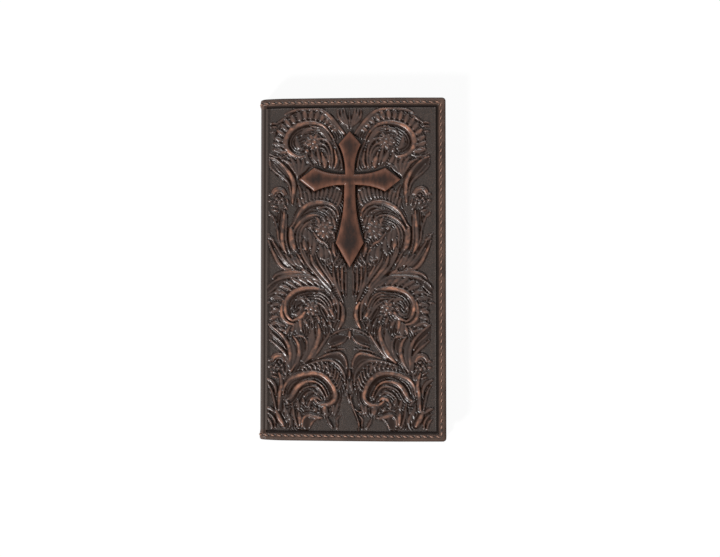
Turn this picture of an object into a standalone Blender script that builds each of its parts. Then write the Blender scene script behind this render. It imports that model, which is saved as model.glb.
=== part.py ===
"""A rodeo wallet: a tall bifold in tooled leather, closed and lying on its back cover.

X runs from the spine to the fore-edge, Y runs up the cover and Z points out of the front cover.
The origin lies under the wallet's middle, on the surface that it rests on. Units are metres.
Both halves are built by the same functions: a depth is measured from a half's outer face inwards.
"""

import collections
import math

import bmesh
import bpy
from mathutils import Vector

# Outer shell: one hide that wraps both covers and the spine, with its cut edges turned in
LENGTH = 0.178
WIDTH = 0.0958
COVER_LEATHER = 0.0016
TURNED_EDGE_LEATHER = 0.001
TURNED_EDGE_WIDTH = 0.008
FOLD_INSIDE_RADIUS = 0.001
CORNER_RADIUS = 0.0018
INNER_CORNER_RADIUS = 0.0004

# Border of the covers: a smooth sewn band, then a groove round the tooled panel
BAND_WIDTH = 0.0034
GROOVE_WIDTH = 0.0016
GROOVE_DEPTH = 0.0006
GROOVE_WALL = 0.0004

# Inner layers, in the order in which they lie on the cover
LINING_CLOTH = 0.0004
BILL_PANEL_LEATHER = 0.001
CARD_LINER_LEATHER = 0.0007
POCKET_LEATHER = 0.0008
PANEL_SETBACK = 0.0006
PANEL_EDGE_ROUND = 0.00015
SPINE_EDGE_SETBACK = 0.001

# Card pockets: strips that lie like shingles, with their mouths towards the top
POCKET_PITCH = 0.015
POCKET_TUCK = 0.005
FRONT_POCKETS = 6
FRONT_FIRST_MOUTH = 0.034
BACK_POCKETS = 3
FRAME_TO_FIRST_MOUTH = 0.008

# Identity card window
FRAME_TOP = 0.014
FRAME_MARGIN = 0.009
FRAME_LEATHER = 0.001
SIGHT_WIDTH = 0.07
SIGHT_HEIGHT = 0.044
SIGHT_CORNER = 0.003
NOTCH_RADIUS = 0.009
NOTCH_DEPTH = 0.006
VINYL = 0.0003
VINYL_LAP = 0.004

# Cross overlay: its arms flare to a widest point and then run to a tip
CROSS_LEATHER = 0.0012
CROSS_BEVEL = 0.0005
CROSS_X = -0.0018
CROSS_Y = 0.0461
FLARE_POWER = 2.4
ARM_STEPS = 7
Arm = collections.namedtuple("Arm", "root_half, flare_half, flare_at, tip_at")
UPPER_ARM = Arm(root_half=0.0023, flare_half=0.0057, flare_at=0.0183, tip_at=0.025)
SIDE_ARM = Arm(root_half=0.0027, flare_half=0.0061, flare_at=0.0183, tip_at=0.0261)
LOWER_ARM = Arm(root_half=0.0028, flare_half=0.0072, flare_at=0.0328, tip_at=0.0455)

# Clearances
SEAT = 0.0003
CLOSED_GAP = 0.0004

# Steps on round stretches, and how faces are shaded and edges rounded
CORNER_STEPS = 5
NOSE_STEPS = 6
FOLD_STEPS = 9
NOTCH_STEPS = 8
SMOOTH_DEGREES = 40.0
SQUARE_EDGE_DEGREES = 50.0
EDGE_ROUND_SEGMENTS = 2
CROSS_BEVEL_SEGMENTS = 2
CROSS_BEVEL_PROFILE = 0.6
PIVOT_DISPLAY_SIZE = 0.01

# Depths of the layers, from the outer face of a half
TURNED_DEPTH = COVER_LEATHER + TURNED_EDGE_LEATHER
LINING_DEPTH = COVER_LEATHER + SEAT
BILL_PANEL_DEPTH = max(TURNED_DEPTH, LINING_DEPTH + LINING_CLOTH) + SEAT
CARD_LINER_DEPTH = BILL_PANEL_DEPTH + BILL_PANEL_LEATHER + SEAT
POCKET_DEPTH = CARD_LINER_DEPTH + CARD_LINER_LEATHER + SEAT
POCKET_SLOPE = (POCKET_LEATHER + SEAT) / POCKET_PITCH
POCKET_REACH = POCKET_PITCH + POCKET_TUCK
SHINGLE_DEPTH = POCKET_SLOPE * POCKET_REACH + POCKET_LEATHER
FRAME_DEPTH = POCKET_DEPTH + VINYL + SEAT
FRAME_HEIGHT = SIGHT_HEIGHT + 2 * FRAME_MARGIN
HALF_DEPTH = POCKET_DEPTH + max(SHINGLE_DEPTH, VINYL + SEAT + FRAME_LEATHER)
THICKNESS = 2 * HALF_DEPTH + CLOSED_GAP

# Places across the wallet
SPINE_X = -WIDTH / 2
FORE_EDGE_X = WIDTH / 2
FOLD_RADIUS = FOLD_INSIDE_RADIUS + TURNED_DEPTH
COVER_START_X = SPINE_X + FOLD_RADIUS + SEAT
PANEL_START_X = SPINE_X + FOLD_RADIUS + SPINE_EDGE_SETBACK
PANEL_END_X = FORE_EDGE_X - PANEL_SETBACK
PANEL_TOP_Y = LENGTH / 2 - PANEL_SETBACK
PANEL_BOTTOM_Y = -PANEL_TOP_Y

# The folds turn where the middle of the leather keeps its length, bent or flat
NEUTRAL_RADIUS = FOLD_RADIUS - COVER_LEATHER / 2
PIVOT_INSET = COVER_LEATHER / 2 + (1 - math.pi / 4) * NEUTRAL_RADIUS
BACK_PIVOT = (SPINE_X + PIVOT_INSET, 0.0, PIVOT_INSET)
FRONT_PIVOT = (SPINE_X + PIVOT_INSET, 0.0, THICKNESS - PIVOT_INSET)

# Colours, as linear values of the leather, cloth and vinyl, with their roughness
COVER_BROWN = ((0.075, 0.05, 0.038), 0.45)
CROSS_BROWN = ((0.06, 0.034, 0.024), 0.4)
INNER_BROWN = ((0.05, 0.03, 0.022), 0.55)
LINING_BROWN = ((0.03, 0.024, 0.02), 0.85)
CLEAR_VINYL = ((0.8, 0.82, 0.82), 0.15)

Half = collections.namedtuple("Half", "name, outer_z, inward, pivot")


def clear_scene():
    for thing in list(bpy.data.objects):
        bpy.data.objects.remove(thing, do_unlink=True)


def world_place(pivot):
    """Where a pivot lies in the world. Pivots are only shifted at rest, never turned."""
    place = Vector()
    while pivot:
        place += pivot.location
        pivot = pivot.parent
    return place


def add_pivot(name, place, parent=None):
    """An empty on a fold's axis, which carries the pieces that turn about it."""
    pivot = bpy.data.objects.new(name, None)
    pivot.empty_display_size = PIVOT_DISPLAY_SIZE
    bpy.context.collection.objects.link(pivot)
    pivot.parent = parent
    pivot.location = Vector(place) - world_place(parent)
    return pivot


def finish(bm, name, look, pivot):
    """Turns a bmesh in world coordinates into a named object whose origin is on its pivot."""
    bmesh.ops.recalc_face_normals(bm, faces=bm.faces)
    bmesh.ops.translate(bm, verts=bm.verts, vec=-world_place(pivot))
    mesh = bpy.data.meshes.new(name)
    bm.to_mesh(mesh)
    bm.free()
    mesh.shade_smooth()
    mesh.set_sharp_from_angle(angle=math.radians(SMOOTH_DEGREES))
    mesh.materials.append(make_material(name, look))
    piece = bpy.data.objects.new(name, mesh)
    bpy.context.collection.objects.link(piece)
    piece.parent = pivot
    return piece


def make_material(name, look):
    colour, roughness = look
    material = bpy.data.materials.new(name + "_finish")
    material.use_nodes = True
    shader = material.node_tree.nodes["Principled BSDF"]
    shader.inputs["Base Color"].default_value = (*colour, 1.0)
    shader.inputs["Roughness"].default_value = roughness
    shader.inputs["Metallic"].default_value = 0.0
    return material


def round_edges(piece, width):
    """A small rounding on the square edges of a piece, and none on its curved outline."""
    bevel = piece.modifiers.new("rounded_edges", "BEVEL")
    bevel.width = width
    bevel.segments = EDGE_ROUND_SEGMENTS
    bevel.limit_method = "ANGLE"
    bevel.angle_limit = math.radians(SQUARE_EDGE_DEGREES)


def draw_out(bm, outline, vector):
    """A closed prism: a flat face round the outline, drawn out along the vector. Returns its far face."""
    start = bm.faces.new([bm.verts.new(point) for point in outline])
    drawn = bmesh.ops.extrude_face_region(bm, geom=[start])["geom"]
    moved = [item for item in drawn if isinstance(item, bmesh.types.BMVert)]
    bmesh.ops.translate(bm, verts=moved, vec=vector)
    return next(item for item in drawn if isinstance(item, bmesh.types.BMFace))


def arc(centre, radius, start_degrees, end_degrees, steps):
    """Points along an arc, both ends included."""
    points = []
    for step in range(steps + 1):
        angle = math.radians(start_degrees + (end_degrees - start_degrees) * step / steps)
        points.append((centre[0] + radius * math.cos(angle), centre[1] + radius * math.sin(angle)))
    return points


def rim_profile():
    """(inset from the shell's edge, depth) from the tooled panel out, round the turned edge and back in."""
    nose = TURNED_DEPTH / 2
    profile = [
        (BAND_WIDTH + GROOVE_WIDTH, 0.0),
        (BAND_WIDTH + GROOVE_WIDTH - GROOVE_WALL, GROOVE_DEPTH),
        (BAND_WIDTH + GROOVE_WALL, GROOVE_DEPTH),
        (BAND_WIDTH, 0.0),
    ]
    profile += arc((nose, nose), nose, -90.0, -270.0, NOSE_STEPS)
    profile += [(TURNED_EDGE_WIDTH, TURNED_DEPTH), (TURNED_EDGE_WIDTH, COVER_LEATHER)]
    return profile


def shell_section():
    """The shell cut along its length: (Y, depth) round the whole outline, both turned edges included."""
    profile = rim_profile()
    lower_end = [(-LENGTH / 2 + inset, depth) for inset, depth in profile]
    upper_end = [(LENGTH / 2 - inset, depth) for inset, depth in reversed(profile)]
    return lower_end + upper_end


def cover_path(inset):
    """The cover's edge drawn in by inset: from the spine along the bottom, fore-edge and top, and back."""
    radius = max(CORNER_RADIUS - inset, INNER_CORNER_RADIUS)
    centre_x = FORE_EDGE_X - inset - radius
    centre_y = LENGTH / 2 - inset - radius
    path = [(COVER_START_X, inset - LENGTH / 2)]
    path += arc((centre_x, -centre_y), radius, -90.0, 0.0, CORNER_STEPS)
    path += arc((centre_x, centre_y), radius, 0.0, 90.0, CORNER_STEPS)
    path.append((COVER_START_X, LENGTH / 2 - inset))
    return path


def build_cover(half):
    """A loft over the rim profile, closed by the panel, the inner face and the end at the fold."""
    bm = bmesh.new()
    rings = []
    for inset, depth in rim_profile():
        height = half.outer_z + half.inward * depth
        rings.append([bm.verts.new((x, y, height)) for x, y in cover_path(inset)])
    for ring, following in zip(rings, rings[1:]):
        for near, far in zip(range(len(ring) - 1), range(1, len(ring))):
            bm.faces.new((ring[near], ring[far], following[far], following[near]))
    bm.faces.new(rings[0])
    bm.faces.new(rings[-1])
    bm.faces.new([ring[0] for ring in rings] + [ring[-1] for ring in reversed(rings)])
    return finish(bm, half.name + "_cover", COVER_BROWN, half.pivot)


def build_fold(half):
    """The shell's section turned through a quarter circle, from the cover to the spine."""
    bm = bmesh.new()
    centre = (SPINE_X + FOLD_RADIUS, 0.0, half.outer_z + half.inward * FOLD_RADIUS)
    section = []
    for y, depth in shell_section():
        section.append(bm.verts.new((centre[0], y, half.outer_z + half.inward * depth)))
    start = bm.faces.new(section)
    bmesh.ops.spin(
        bm,
        geom=[start, *start.edges, *start.verts],
        cent=centre,
        axis=(0.0, half.inward, 0.0),
        angle=math.pi / 2,
        steps=FOLD_STEPS,
        use_duplicate=False,
    )
    return finish(bm, half.name + "_fold", COVER_BROWN, half.pivot)


def build_spine_panel(pivot):
    """The shell's section drawn straight from one fold to the other."""
    bm = bmesh.new()
    low = FOLD_RADIUS + SEAT
    high = THICKNESS - low
    section = [(SPINE_X + depth, y, low) for y, depth in shell_section()]
    draw_out(bm, section, (0.0, 0.0, high - low))
    return finish(bm, "spine_panel", COVER_BROWN, pivot)


def build_plate(name, outline, half, depth, thickness, look, edge_round=PANEL_EDGE_ROUND):
    """A flat piece of the given plan outline, at a depth inside one half."""
    bm = bmesh.new()
    height = half.outer_z + half.inward * depth
    draw_out(bm, [(x, y, height) for x, y in outline], (0.0, 0.0, half.inward * thickness))
    plate = finish(bm, name, look, half.pivot)
    round_edges(plate, edge_round)
    return plate


def panel_outline(start_x, end_x, bottom_y, top_y, corner):
    """A rectangle whose two corners on the fore-edge side are rounded."""
    outline = [(start_x, top_y), (start_x, bottom_y)]
    outline += arc((end_x - corner, bottom_y + corner), corner, -90.0, 0.0, CORNER_STEPS)
    outline += arc((end_x - corner, top_y - corner), corner, 0.0, 90.0, CORNER_STEPS)
    return outline


def rounded_rectangle(centre, width, height, corner):
    outline = []
    for turn, side_x, side_y in ((0.0, 1, 1), (90.0, -1, 1), (180.0, -1, -1), (270.0, 1, -1)):
        corner_x = centre[0] + side_x * (width / 2 - corner)
        corner_y = centre[1] + side_y * (height / 2 - corner)
        outline += arc((corner_x, corner_y), corner, turn, turn + 90.0, CORNER_STEPS)
    return outline


def build_linings(halves, spine_pivot):
    """Thin cloth inside the covers, between their turned edges, and inside the spine."""
    reach_y = LENGTH / 2 - TURNED_EDGE_WIDTH - SEAT
    for half in halves:
        outline = panel_outline(
            COVER_START_X, FORE_EDGE_X - TURNED_EDGE_WIDTH - SEAT, -reach_y, reach_y, INNER_CORNER_RADIUS
        )
        name = half.name + "_lining"
        build_plate(name, outline, half, LINING_DEPTH, LINING_CLOTH, LINING_BROWN, LINING_CLOTH / 4)
    bm = bmesh.new()
    low = FOLD_RADIUS + SEAT
    corners = [(-reach_y, low), (reach_y, low), (reach_y, THICKNESS - low), (-reach_y, THICKNESS - low)]
    draw_out(bm, [(SPINE_X + LINING_DEPTH, y, z) for y, z in corners], (LINING_CLOTH, 0.0, 0.0))
    lining = finish(bm, "spine_lining", LINING_BROWN, spine_pivot)
    round_edges(lining, LINING_CLOTH / 4)


def build_panels(half):
    """The bill panel, sewn on three sides and open to the spine, and the liner that carries the cards."""
    outline = panel_outline(PANEL_START_X, PANEL_END_X, PANEL_BOTTOM_Y, PANEL_TOP_Y, CORNER_RADIUS)
    build_plate(
        half.name + "_bill_panel", outline, half, BILL_PANEL_DEPTH, BILL_PANEL_LEATHER, INNER_BROWN
    )
    build_plate(
        half.name + "_card_liner", outline, half, CARD_LINER_DEPTH, CARD_LINER_LEATHER, INNER_BROWN
    )


def pocket_profile(mouth_y, is_last):
    """(Y, depth) of one strip: it climbs from its tail, under the next strip, to its mouth."""
    tail_y = mouth_y - POCKET_REACH
    climb = POCKET_SLOPE * POCKET_REACH
    under = [(tail_y, 0.0), (mouth_y, climb)]
    over = [(mouth_y, climb + POCKET_LEATHER), (tail_y, POCKET_LEATHER)]
    if is_last:
        under.insert(0, (PANEL_BOTTOM_Y, 0.0))
        over.append((PANEL_BOTTOM_Y, POCKET_LEATHER))
    return under + over


def build_pockets(half, count, first_mouth):
    """A row of shingled strips. The last one runs on down to the bottom seam."""
    for number in range(1, count + 1):
        mouth_y = LENGTH / 2 - first_mouth - (number - 1) * POCKET_PITCH
        bm = bmesh.new()
        section = []
        for y, depth in pocket_profile(mouth_y, number == count):
            height = half.outer_z + half.inward * (POCKET_DEPTH + depth)
            section.append((PANEL_START_X, y, height))
        draw_out(bm, section, (PANEL_END_X - PANEL_START_X, 0.0, 0.0))
        strip = finish(bm, f"{half.name}_card_pocket_{number}", INNER_BROWN, half.pivot)
        round_edges(strip, PANEL_EDGE_ROUND)


def build_id_window(half):
    """Clear vinyl under a leather frame, with a notch in the mouth so that a thumb can push the card."""
    middle_x = (PANEL_START_X + PANEL_END_X) / 2
    top_y = LENGTH / 2 - FRAME_TOP
    middle_y = top_y - FRAME_HEIGHT / 2
    sheet = rounded_rectangle(
        (middle_x, middle_y), SIGHT_WIDTH + 2 * VINYL_LAP, SIGHT_HEIGHT + 2 * VINYL_LAP, SIGHT_CORNER
    )
    build_plate("id_window", sheet, half, POCKET_DEPTH, VINYL, CLEAR_VINYL, VINYL / 4)

    outline = [(PANEL_START_X, top_y), (PANEL_START_X, top_y - FRAME_HEIGHT)]
    outline += [(PANEL_END_X, top_y - FRAME_HEIGHT), (PANEL_END_X, top_y)]
    half_angle = math.degrees(math.acos((NOTCH_RADIUS - NOTCH_DEPTH) / NOTCH_RADIUS))
    notch_centre = (middle_x, top_y + NOTCH_RADIUS - NOTCH_DEPTH)
    outline += arc(notch_centre, NOTCH_RADIUS, -90.0 + half_angle, -90.0 - half_angle, NOTCH_STEPS)
    frame = build_plate("id_window_frame", outline, half, FRAME_DEPTH, FRAME_LEATHER, INNER_BROWN)

    sight = rounded_rectangle((middle_x, middle_y), SIGHT_WIDTH, SIGHT_HEIGHT, SIGHT_CORNER)
    cutter = build_plate(
        "sight_cutter", sight, half, FRAME_DEPTH - FRAME_LEATHER, 3 * FRAME_LEATHER, INNER_BROWN
    )
    cutter.modifiers.clear()
    cutter.hide_render = True
    cutter.display_type = "WIRE"
    opening = frame.modifiers.new("sight_opening", "BOOLEAN")
    opening.operation = "DIFFERENCE"
    opening.object = cutter
    frame.modifiers.move(frame.modifiers.find("sight_opening"), 0)


def arm_edge(arm, crossing_half):
    """(distance from the centre, half width) along one side of an arm, from its root to its tip."""
    edge = []
    for step in range(ARM_STEPS + 1):
        share = step / ARM_STEPS
        along = crossing_half + (arm.flare_at - crossing_half) * share
        half = arm.root_half + (arm.flare_half - arm.root_half) * share**FLARE_POWER
        edge.append((along, half))
    edge.append((arm.tip_at, 0.0))
    return edge


def cross_outline():
    """The cross, anticlockwise from the root of its right arm's lower side."""
    upright_half = (UPPER_ARM.root_half + LOWER_ARM.root_half) / 2
    directions = (
        (SIDE_ARM, 0, upright_half),
        (UPPER_ARM, 1, SIDE_ARM.root_half),
        (SIDE_ARM, 2, upright_half),
        (LOWER_ARM, 3, SIDE_ARM.root_half),
    )
    outline = []
    for arm, quarter_turns, crossing_half in directions:
        edge = arm_edge(arm, crossing_half)
        side = [(along, -half) for along, half in edge]
        side += [(along, half) for along, half in reversed(edge[:-1])]
        for x, y in side:
            for _ in range(quarter_turns):
                x, y = -y, x
            outline.append((CROSS_X + x, CROSS_Y + y))
    return outline


def build_cross(half):
    """A smooth leather cross laid on the tooled panel, with its upper edge bevelled."""
    bm = bmesh.new()
    outline = [(x, y, half.outer_z + SEAT) for x, y in cross_outline()]
    top = draw_out(bm, outline, (0.0, 0.0, CROSS_LEATHER))
    bmesh.ops.bevel(
        bm,
        geom=list(top.edges),
        offset=CROSS_BEVEL,
        offset_type="OFFSET",
        segments=CROSS_BEVEL_SEGMENTS,
        profile=CROSS_BEVEL_PROFILE,
        affect="EDGES",
    )
    return finish(bm, "cross_overlay", CROSS_BROWN, half.pivot)


def build_wallet():
    clear_scene()
    spine_pivot = add_pivot("spine_axis", BACK_PIVOT)
    front_pivot = add_pivot("front_axis", FRONT_PIVOT, spine_pivot)
    back = Half("back", 0.0, 1.0, None)
    front = Half("front", THICKNESS, -1.0, front_pivot)
    for half in (back, front):
        build_cover(half)
        build_fold(half)
        build_panels(half)
    build_spine_panel(spine_pivot)
    build_linings((back, front), spine_pivot)
    build_pockets(front, FRONT_POCKETS, FRONT_FIRST_MOUTH)
    build_id_window(back)
    build_pockets(back, BACK_POCKETS, FRAME_TOP + FRAME_HEIGHT + FRAME_TO_FIRST_MOUTH)
    build_cross(front)


build_wallet()
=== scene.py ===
"""Rodeo wallet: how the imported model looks.

Lengths are metres in the model's own frame, apart from the tooling, which is in millimetres. A place
on a cover is given as (run, up, lift): run goes from the fore-edge over the cover and round the spine,
up goes along the length, and lift is the height above the leather's outer face.
"""

import math

import bmesh
import bpy
import numpy as np
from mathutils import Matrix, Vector


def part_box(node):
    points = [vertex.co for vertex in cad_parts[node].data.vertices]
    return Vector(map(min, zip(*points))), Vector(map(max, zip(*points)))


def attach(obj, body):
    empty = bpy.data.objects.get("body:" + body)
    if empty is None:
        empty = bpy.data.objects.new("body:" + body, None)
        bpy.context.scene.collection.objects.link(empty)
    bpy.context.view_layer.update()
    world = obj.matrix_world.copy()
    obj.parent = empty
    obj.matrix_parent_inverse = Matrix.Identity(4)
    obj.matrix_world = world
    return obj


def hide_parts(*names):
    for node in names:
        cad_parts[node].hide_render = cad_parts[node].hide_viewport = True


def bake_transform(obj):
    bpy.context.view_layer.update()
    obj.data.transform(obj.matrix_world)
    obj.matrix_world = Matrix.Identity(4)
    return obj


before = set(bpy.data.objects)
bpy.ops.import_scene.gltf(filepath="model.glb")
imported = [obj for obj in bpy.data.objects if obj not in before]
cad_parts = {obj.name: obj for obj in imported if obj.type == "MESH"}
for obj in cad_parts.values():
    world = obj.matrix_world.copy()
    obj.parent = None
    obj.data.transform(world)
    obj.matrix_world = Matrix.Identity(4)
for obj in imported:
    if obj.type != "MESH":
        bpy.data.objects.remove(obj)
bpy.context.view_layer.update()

MM = 0.001
SEED = 7
SHARP_DEGREES = 50

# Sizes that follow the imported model
cover_low, cover_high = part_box("front_cover")
SEAT = 0.3 * MM
TOP = cover_high.z
FORE_EDGE = cover_high.x
SPINE_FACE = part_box("spine_panel")[0].x
HALF_LENGTH = cover_high.y
FOLD_RADIUS = cover_low.x - SPINE_FACE - SEAT
FOLD_X = SPINE_FACE + FOLD_RADIUS
FLAT_RUN = FORE_EDGE - FOLD_X
FOLD_RUN = FOLD_RADIUS * math.pi / 2
END_RUN = FLAT_RUN + FOLD_RUN + TOP / 2 - FOLD_RADIUS

# Leather of the covers and its border
LEATHER = 1.6 * MM
HEM_DEPTH = 2.6 * MM
HEM_WIDTH = 8.0 * MM
NOSE_RADIUS = HEM_DEPTH / 2
PANEL_INSET = 5.2 * MM
GROOVE_DEPTH = 0.8 * MM
SLAB_FLOOR = -1.25 * MM
CORNER_RADIUS = 1.8 * MM
INNER_CORNER = 0.4 * MM
SIDE_DIP = 0.62 * MM
SIDE_DIP_START = 24 * MM
SIDE_DIP_MOST = 1.25
SIDE_DIP_POWER = 1.2
SPINE_DIP = 0.45 * MM
SPINE_DIP_START = -34 * MM
SPINE_DIP_MOST = 1.1

# Sewing
SEAM_INSET = 2.5 * MM
STITCH_PITCH = 3.4 * MM
THREAD_RADIUS = 0.32 * MM

# The pattern's upright axis, which the cross stands on
AXIS_X = -1.8 * MM
CROSS_Y = 46.1 * MM

# Tooling of the covers. Lengths in this section are millimetres: "across" is the distance from the
# pattern's upright axis, "up" is the height on the cover, and the pattern is mirrored about the axis.
CELL = 0.19
HALF_SPAN = 45.6
HALF_RISE = 85.0
PATH_STEP = 0.5
SHORTEST_STEP = 1e-6
LEAST_RISE = 1e-9
GROUND_LEVEL = -0.34
FIGURE_LEVEL = -0.12
CUT_WIDTH = 0.55
CUT_DEPTH = 0.22
CUT_POWER = 1.3
CUT_WEAR = 0.8
MID_CUT_WIDTH = 0.22
BROADEN = 1.22
BROADEN_MAIN = 1.3
MAIN_BAND_TONE = 0.7
LEAST_TONE = 0.24
TONE_POWER = 1.6
RUBBED_RISE = 0.27
# Painted shade inside dished leaves, and the width of the painted shadow line round the cross
DISH_SHADE = 0.7
SHADED_LINE_WIDTH = 1.15
FIELD_MARK = 0.5
FIELD_EDGE = 0.8
FIELD_ROUNDING = 0.08
ECHO_REACH = 8.0
FAR_FROM_BANDS = 9.0
BEAD_LENGTH = 0.05
PETAL_WIDTHS = np.array((0.3, 0.85, 1.0, 0.65))
FLOWER_WIDTHS = np.array((0.4, 1.0, 0.7))
FLOWER_REACHES = (0.35, 0.65, 0.9)
FLOWER_FULLNESS = 0.75
FLOWER_SHADE = 0.6
FLOWER_RISE = 0.24
BOSS_SIZE = 0.3
BOSS_RISE = 0.34
FINE_BLUR = 2
BROAD_BLUR = 14
LUMP_TILE = 256

across_line = np.arange(0.0, HALF_SPAN, CELL)
up_line = np.arange(-HALF_RISE, HALF_RISE, CELL)
ACROSS, UP = np.meshgrid(across_line, up_line)
relief = np.full(ACROSS.shape, GROUND_LEVEL)
burnish = np.zeros(ACROSS.shape)
# Painted shade inside dished leaves
dish_painted_shade = np.zeros(ACROSS.shape)
figure = np.zeros(ACROSS.shape)
band_distance = np.full(ACROSS.shape, FAR_FROM_BANDS)


def smooth_path(points, closed=False):
    """Points every half millimetre on a smooth curve through the given ones."""
    points = np.array(points, float)
    if closed:
        points = np.vstack([points[-1], points, points[0], points[1]])
    else:
        first = 2 * points[0] - points[1]
        last = 2 * points[-1] - points[-2]
        points = np.vstack([first, points, last])
    path = []
    for before, start, end, after in zip(points[:-3], points[1:-2], points[2:-1], points[3:]):
        count = max(2, int(np.hypot(*(end - start)) / PATH_STEP))
        t = np.linspace(0, 1, count, endpoint=False)[:, None]
        path.append(0.5 * (2 * start + (end - before) * t
                           + (2 * before - 5 * start + 4 * end - after) * t ** 2
                           + (3 * start - before - 3 * end + after) * t ** 3))
    path.append(points[-2][None])
    return np.vstack(path)


def window(path, reach):
    """The part of the grid that a path can touch."""
    low = path.min(0) - reach
    high = path.max(0) + reach
    columns = slice(*np.searchsorted(across_line, (low[0], high[0])))
    rows = slice(*np.searchsorted(up_line, (low[1], high[1])))
    return rows, columns


def nearest(path, across, up):
    """Distance from each grid point to a path, and where along the path that is, from 0 to 1."""
    steps = np.hypot(*np.diff(path, axis=0).T)
    begin = np.concatenate([[0], np.cumsum(steps)])
    distance = np.full(across.shape, np.inf)
    along = np.zeros(across.shape)
    for number, (start, end) in enumerate(zip(path[:-1], path[1:])):
        run = end - start
        length = max(steps[number], SHORTEST_STEP)
        t = ((across - start[0]) * run[0] + (up - start[1]) * run[1]) / length ** 2
        t = np.clip(t, 0, 1)
        d = np.hypot(across - start[0] - t * run[0], up - start[1] - t * run[1])
        closer = d < distance
        distance[closer] = d[closer]
        along[closer] = (begin[number] + t[closer] * length) / begin[-1]
    return distance, along


def press(inside, outside, top, tone, place, mark=1.0, added_painted_shade=0.0):
    """Raises what is inside an outline and cuts a bevelled line just outside it, and keeps the painted shade
    given for inside it.
    """
    cut = np.clip(1 - outside / CUT_WIDTH, 0, 1) * (outside > 0)
    relief[place] = np.where(inside, top, relief[place] - CUT_DEPTH * cut ** CUT_POWER)
    burnish[place] = np.where(inside, tone, burnish[place] * (1 - CUT_WEAR * cut))
    figure[place] = np.where(inside, mark, np.maximum(figure[place], cut))
    dish_painted_shade[place] = np.where(inside, added_painted_shade, dish_painted_shade[place])


def stroke(tone, widths, *points, rise=0.3, crease=0.0, dish=0.0):
    """A rounded band along a path of given half-widths. Crease cuts its middle, and dish hollows it out and
    darkens it with painted shade.
    """
    sides = [np.array(points, float)]
    widths = np.array(widths) * (BROADEN_MAIN if tone >= MAIN_BAND_TONE else BROADEN)
    reach = max(widths) + CUT_WIDTH
    if sides[0][:, 0].min() < reach:
        sides.append(sides[0] * (-1, 1))
    for side in sides:
        path = smooth_path(side)
        place = window(path, reach)
        across = ACROSS[place]
        if across.size == 0:
            continue
        distance, along = nearest(path, across, UP[place])
        width = np.interp(along, np.linspace(0, 1, len(widths)), widths)
        share = np.clip(distance / width, 0, 1)
        dome = 1 - share ** 2
        top = FIGURE_LEVEL + rise * np.sqrt(dome)
        top -= dish * dome ** 2
        top -= crease * np.exp(-(distance / MID_CUT_WIDTH) ** 2)
        worn = max(tone, LEAST_TONE) if rise > RUBBED_RISE else tone
        tint = worn * dome ** TONE_POWER
        added_painted_shade = 0.0
        # A dish: copper only near its rim, and painted shade inside.
        if dish:
            tint = tint * share ** 2
            added_painted_shade = DISH_SHADE * (1 - share ** 3)
        press(distance < width, distance - width, top, tint, place, added_painted_shade=added_painted_shade)
        if tone >= MAIN_BAND_TONE:
            near = window(path, ECHO_REACH)
            gap, _ = nearest(path[::3], ACROSS[near], UP[near])
            band_distance[near] = np.minimum(band_distance[near], gap)


def patch(level, *outline):
    """A flat raised field inside a smooth closed outline."""
    path = smooth_path(outline, closed=True)
    place = window(path, CUT_WIDTH)
    across = ACROSS[place]
    up = UP[place]
    distance, _ = nearest(path, across, up)
    inside = np.zeros(across.shape, bool)
    for start, end in zip(path[:-1], path[1:]):
        spans = (start[1] > up) != (end[1] > up)
        rise = end[1] - start[1]
        if abs(rise) <= LEAST_RISE:
            rise = LEAST_RISE
        crossing = start[0] + (up - start[1]) * (end[0] - start[0]) / rise
        inside ^= spans & (across < crossing)
    edge = np.clip(distance / FIELD_EDGE, 0, 1)
    top = level - FIELD_ROUNDING * (1 - edge) ** 2
    press(inside, np.where(inside, 0, distance), top, 0.0, place, FIELD_MARK)


def bead(tone, across, up, radius, rise=0.3):
    """A round boss."""
    stroke(tone, (radius, radius), (across, up), (across, up - BEAD_LENGTH), rise=rise)


def petals(tone, count, inner, outer, share=0.34, rise=0.34, lean=0.0):
    """A row of rounded lobes from an inner guide line to an outer one."""
    inner = smooth_path(inner)
    outer = smooth_path(outer)
    span = np.hypot(*np.diff(outer, axis=0).T).sum() / count
    for number in range(count):
        t = (number + 0.5) / count
        root = inner[int(t * (len(inner) - 1))]
        above = outer[int(t * (len(outer) - 1))]
        tip = outer[int(np.clip(t + lean, 0, 1) * (len(outer) - 1))]
        middle = 0.5 * root + 0.25 * (above + tip)
        stroke(tone, share * span * PETAL_WIDTHS, root, middle, tip, rise=rise)


def rosette(tone, across, up, radius, count, turn=0.0):
    """A small flower: petals round a boss."""
    centre = np.array((across, up))
    width = radius * np.sin(np.pi / count) * FLOWER_FULLNESS
    for number in range(count):
        angle = turn + 2 * np.pi * number / count
        way = np.array((np.cos(angle), np.sin(angle)))
        path = [centre + reach * radius * way for reach in FLOWER_REACHES]
        stroke(FLOWER_SHADE * tone, width * FLOWER_WIDTHS, *path, rise=FLOWER_RISE)
    bead(tone, across, up, BOSS_SIZE * radius, rise=BOSS_RISE)


def top_spray():
    """Narrow leaves that stand on the cross."""
    stroke(0.1, (0.3, 0.7, 0.5, 0.2), (0.0, 73.8), (0.0, 77.5), (0.0, 81.0), (0.0, 83.0))
    stroke(0.2, (0.3, 0.8, 0.7, 0.25), (0.9, 73.2), (1.9, 76.8), (2.7, 80.0), (3.0, 83.2))
    stroke(0.1, (0.3, 0.75, 0.6, 0.2), (1.7, 74.2), (3.2, 77.2), (4.2, 80.0), (4.4, 82.6))
    stroke(0.2, (0.3, 0.7, 0.5, 0.2), (2.6, 74.8), (4.9, 77.6), (6.1, 80.6), (6.0, 83.0))


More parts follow.
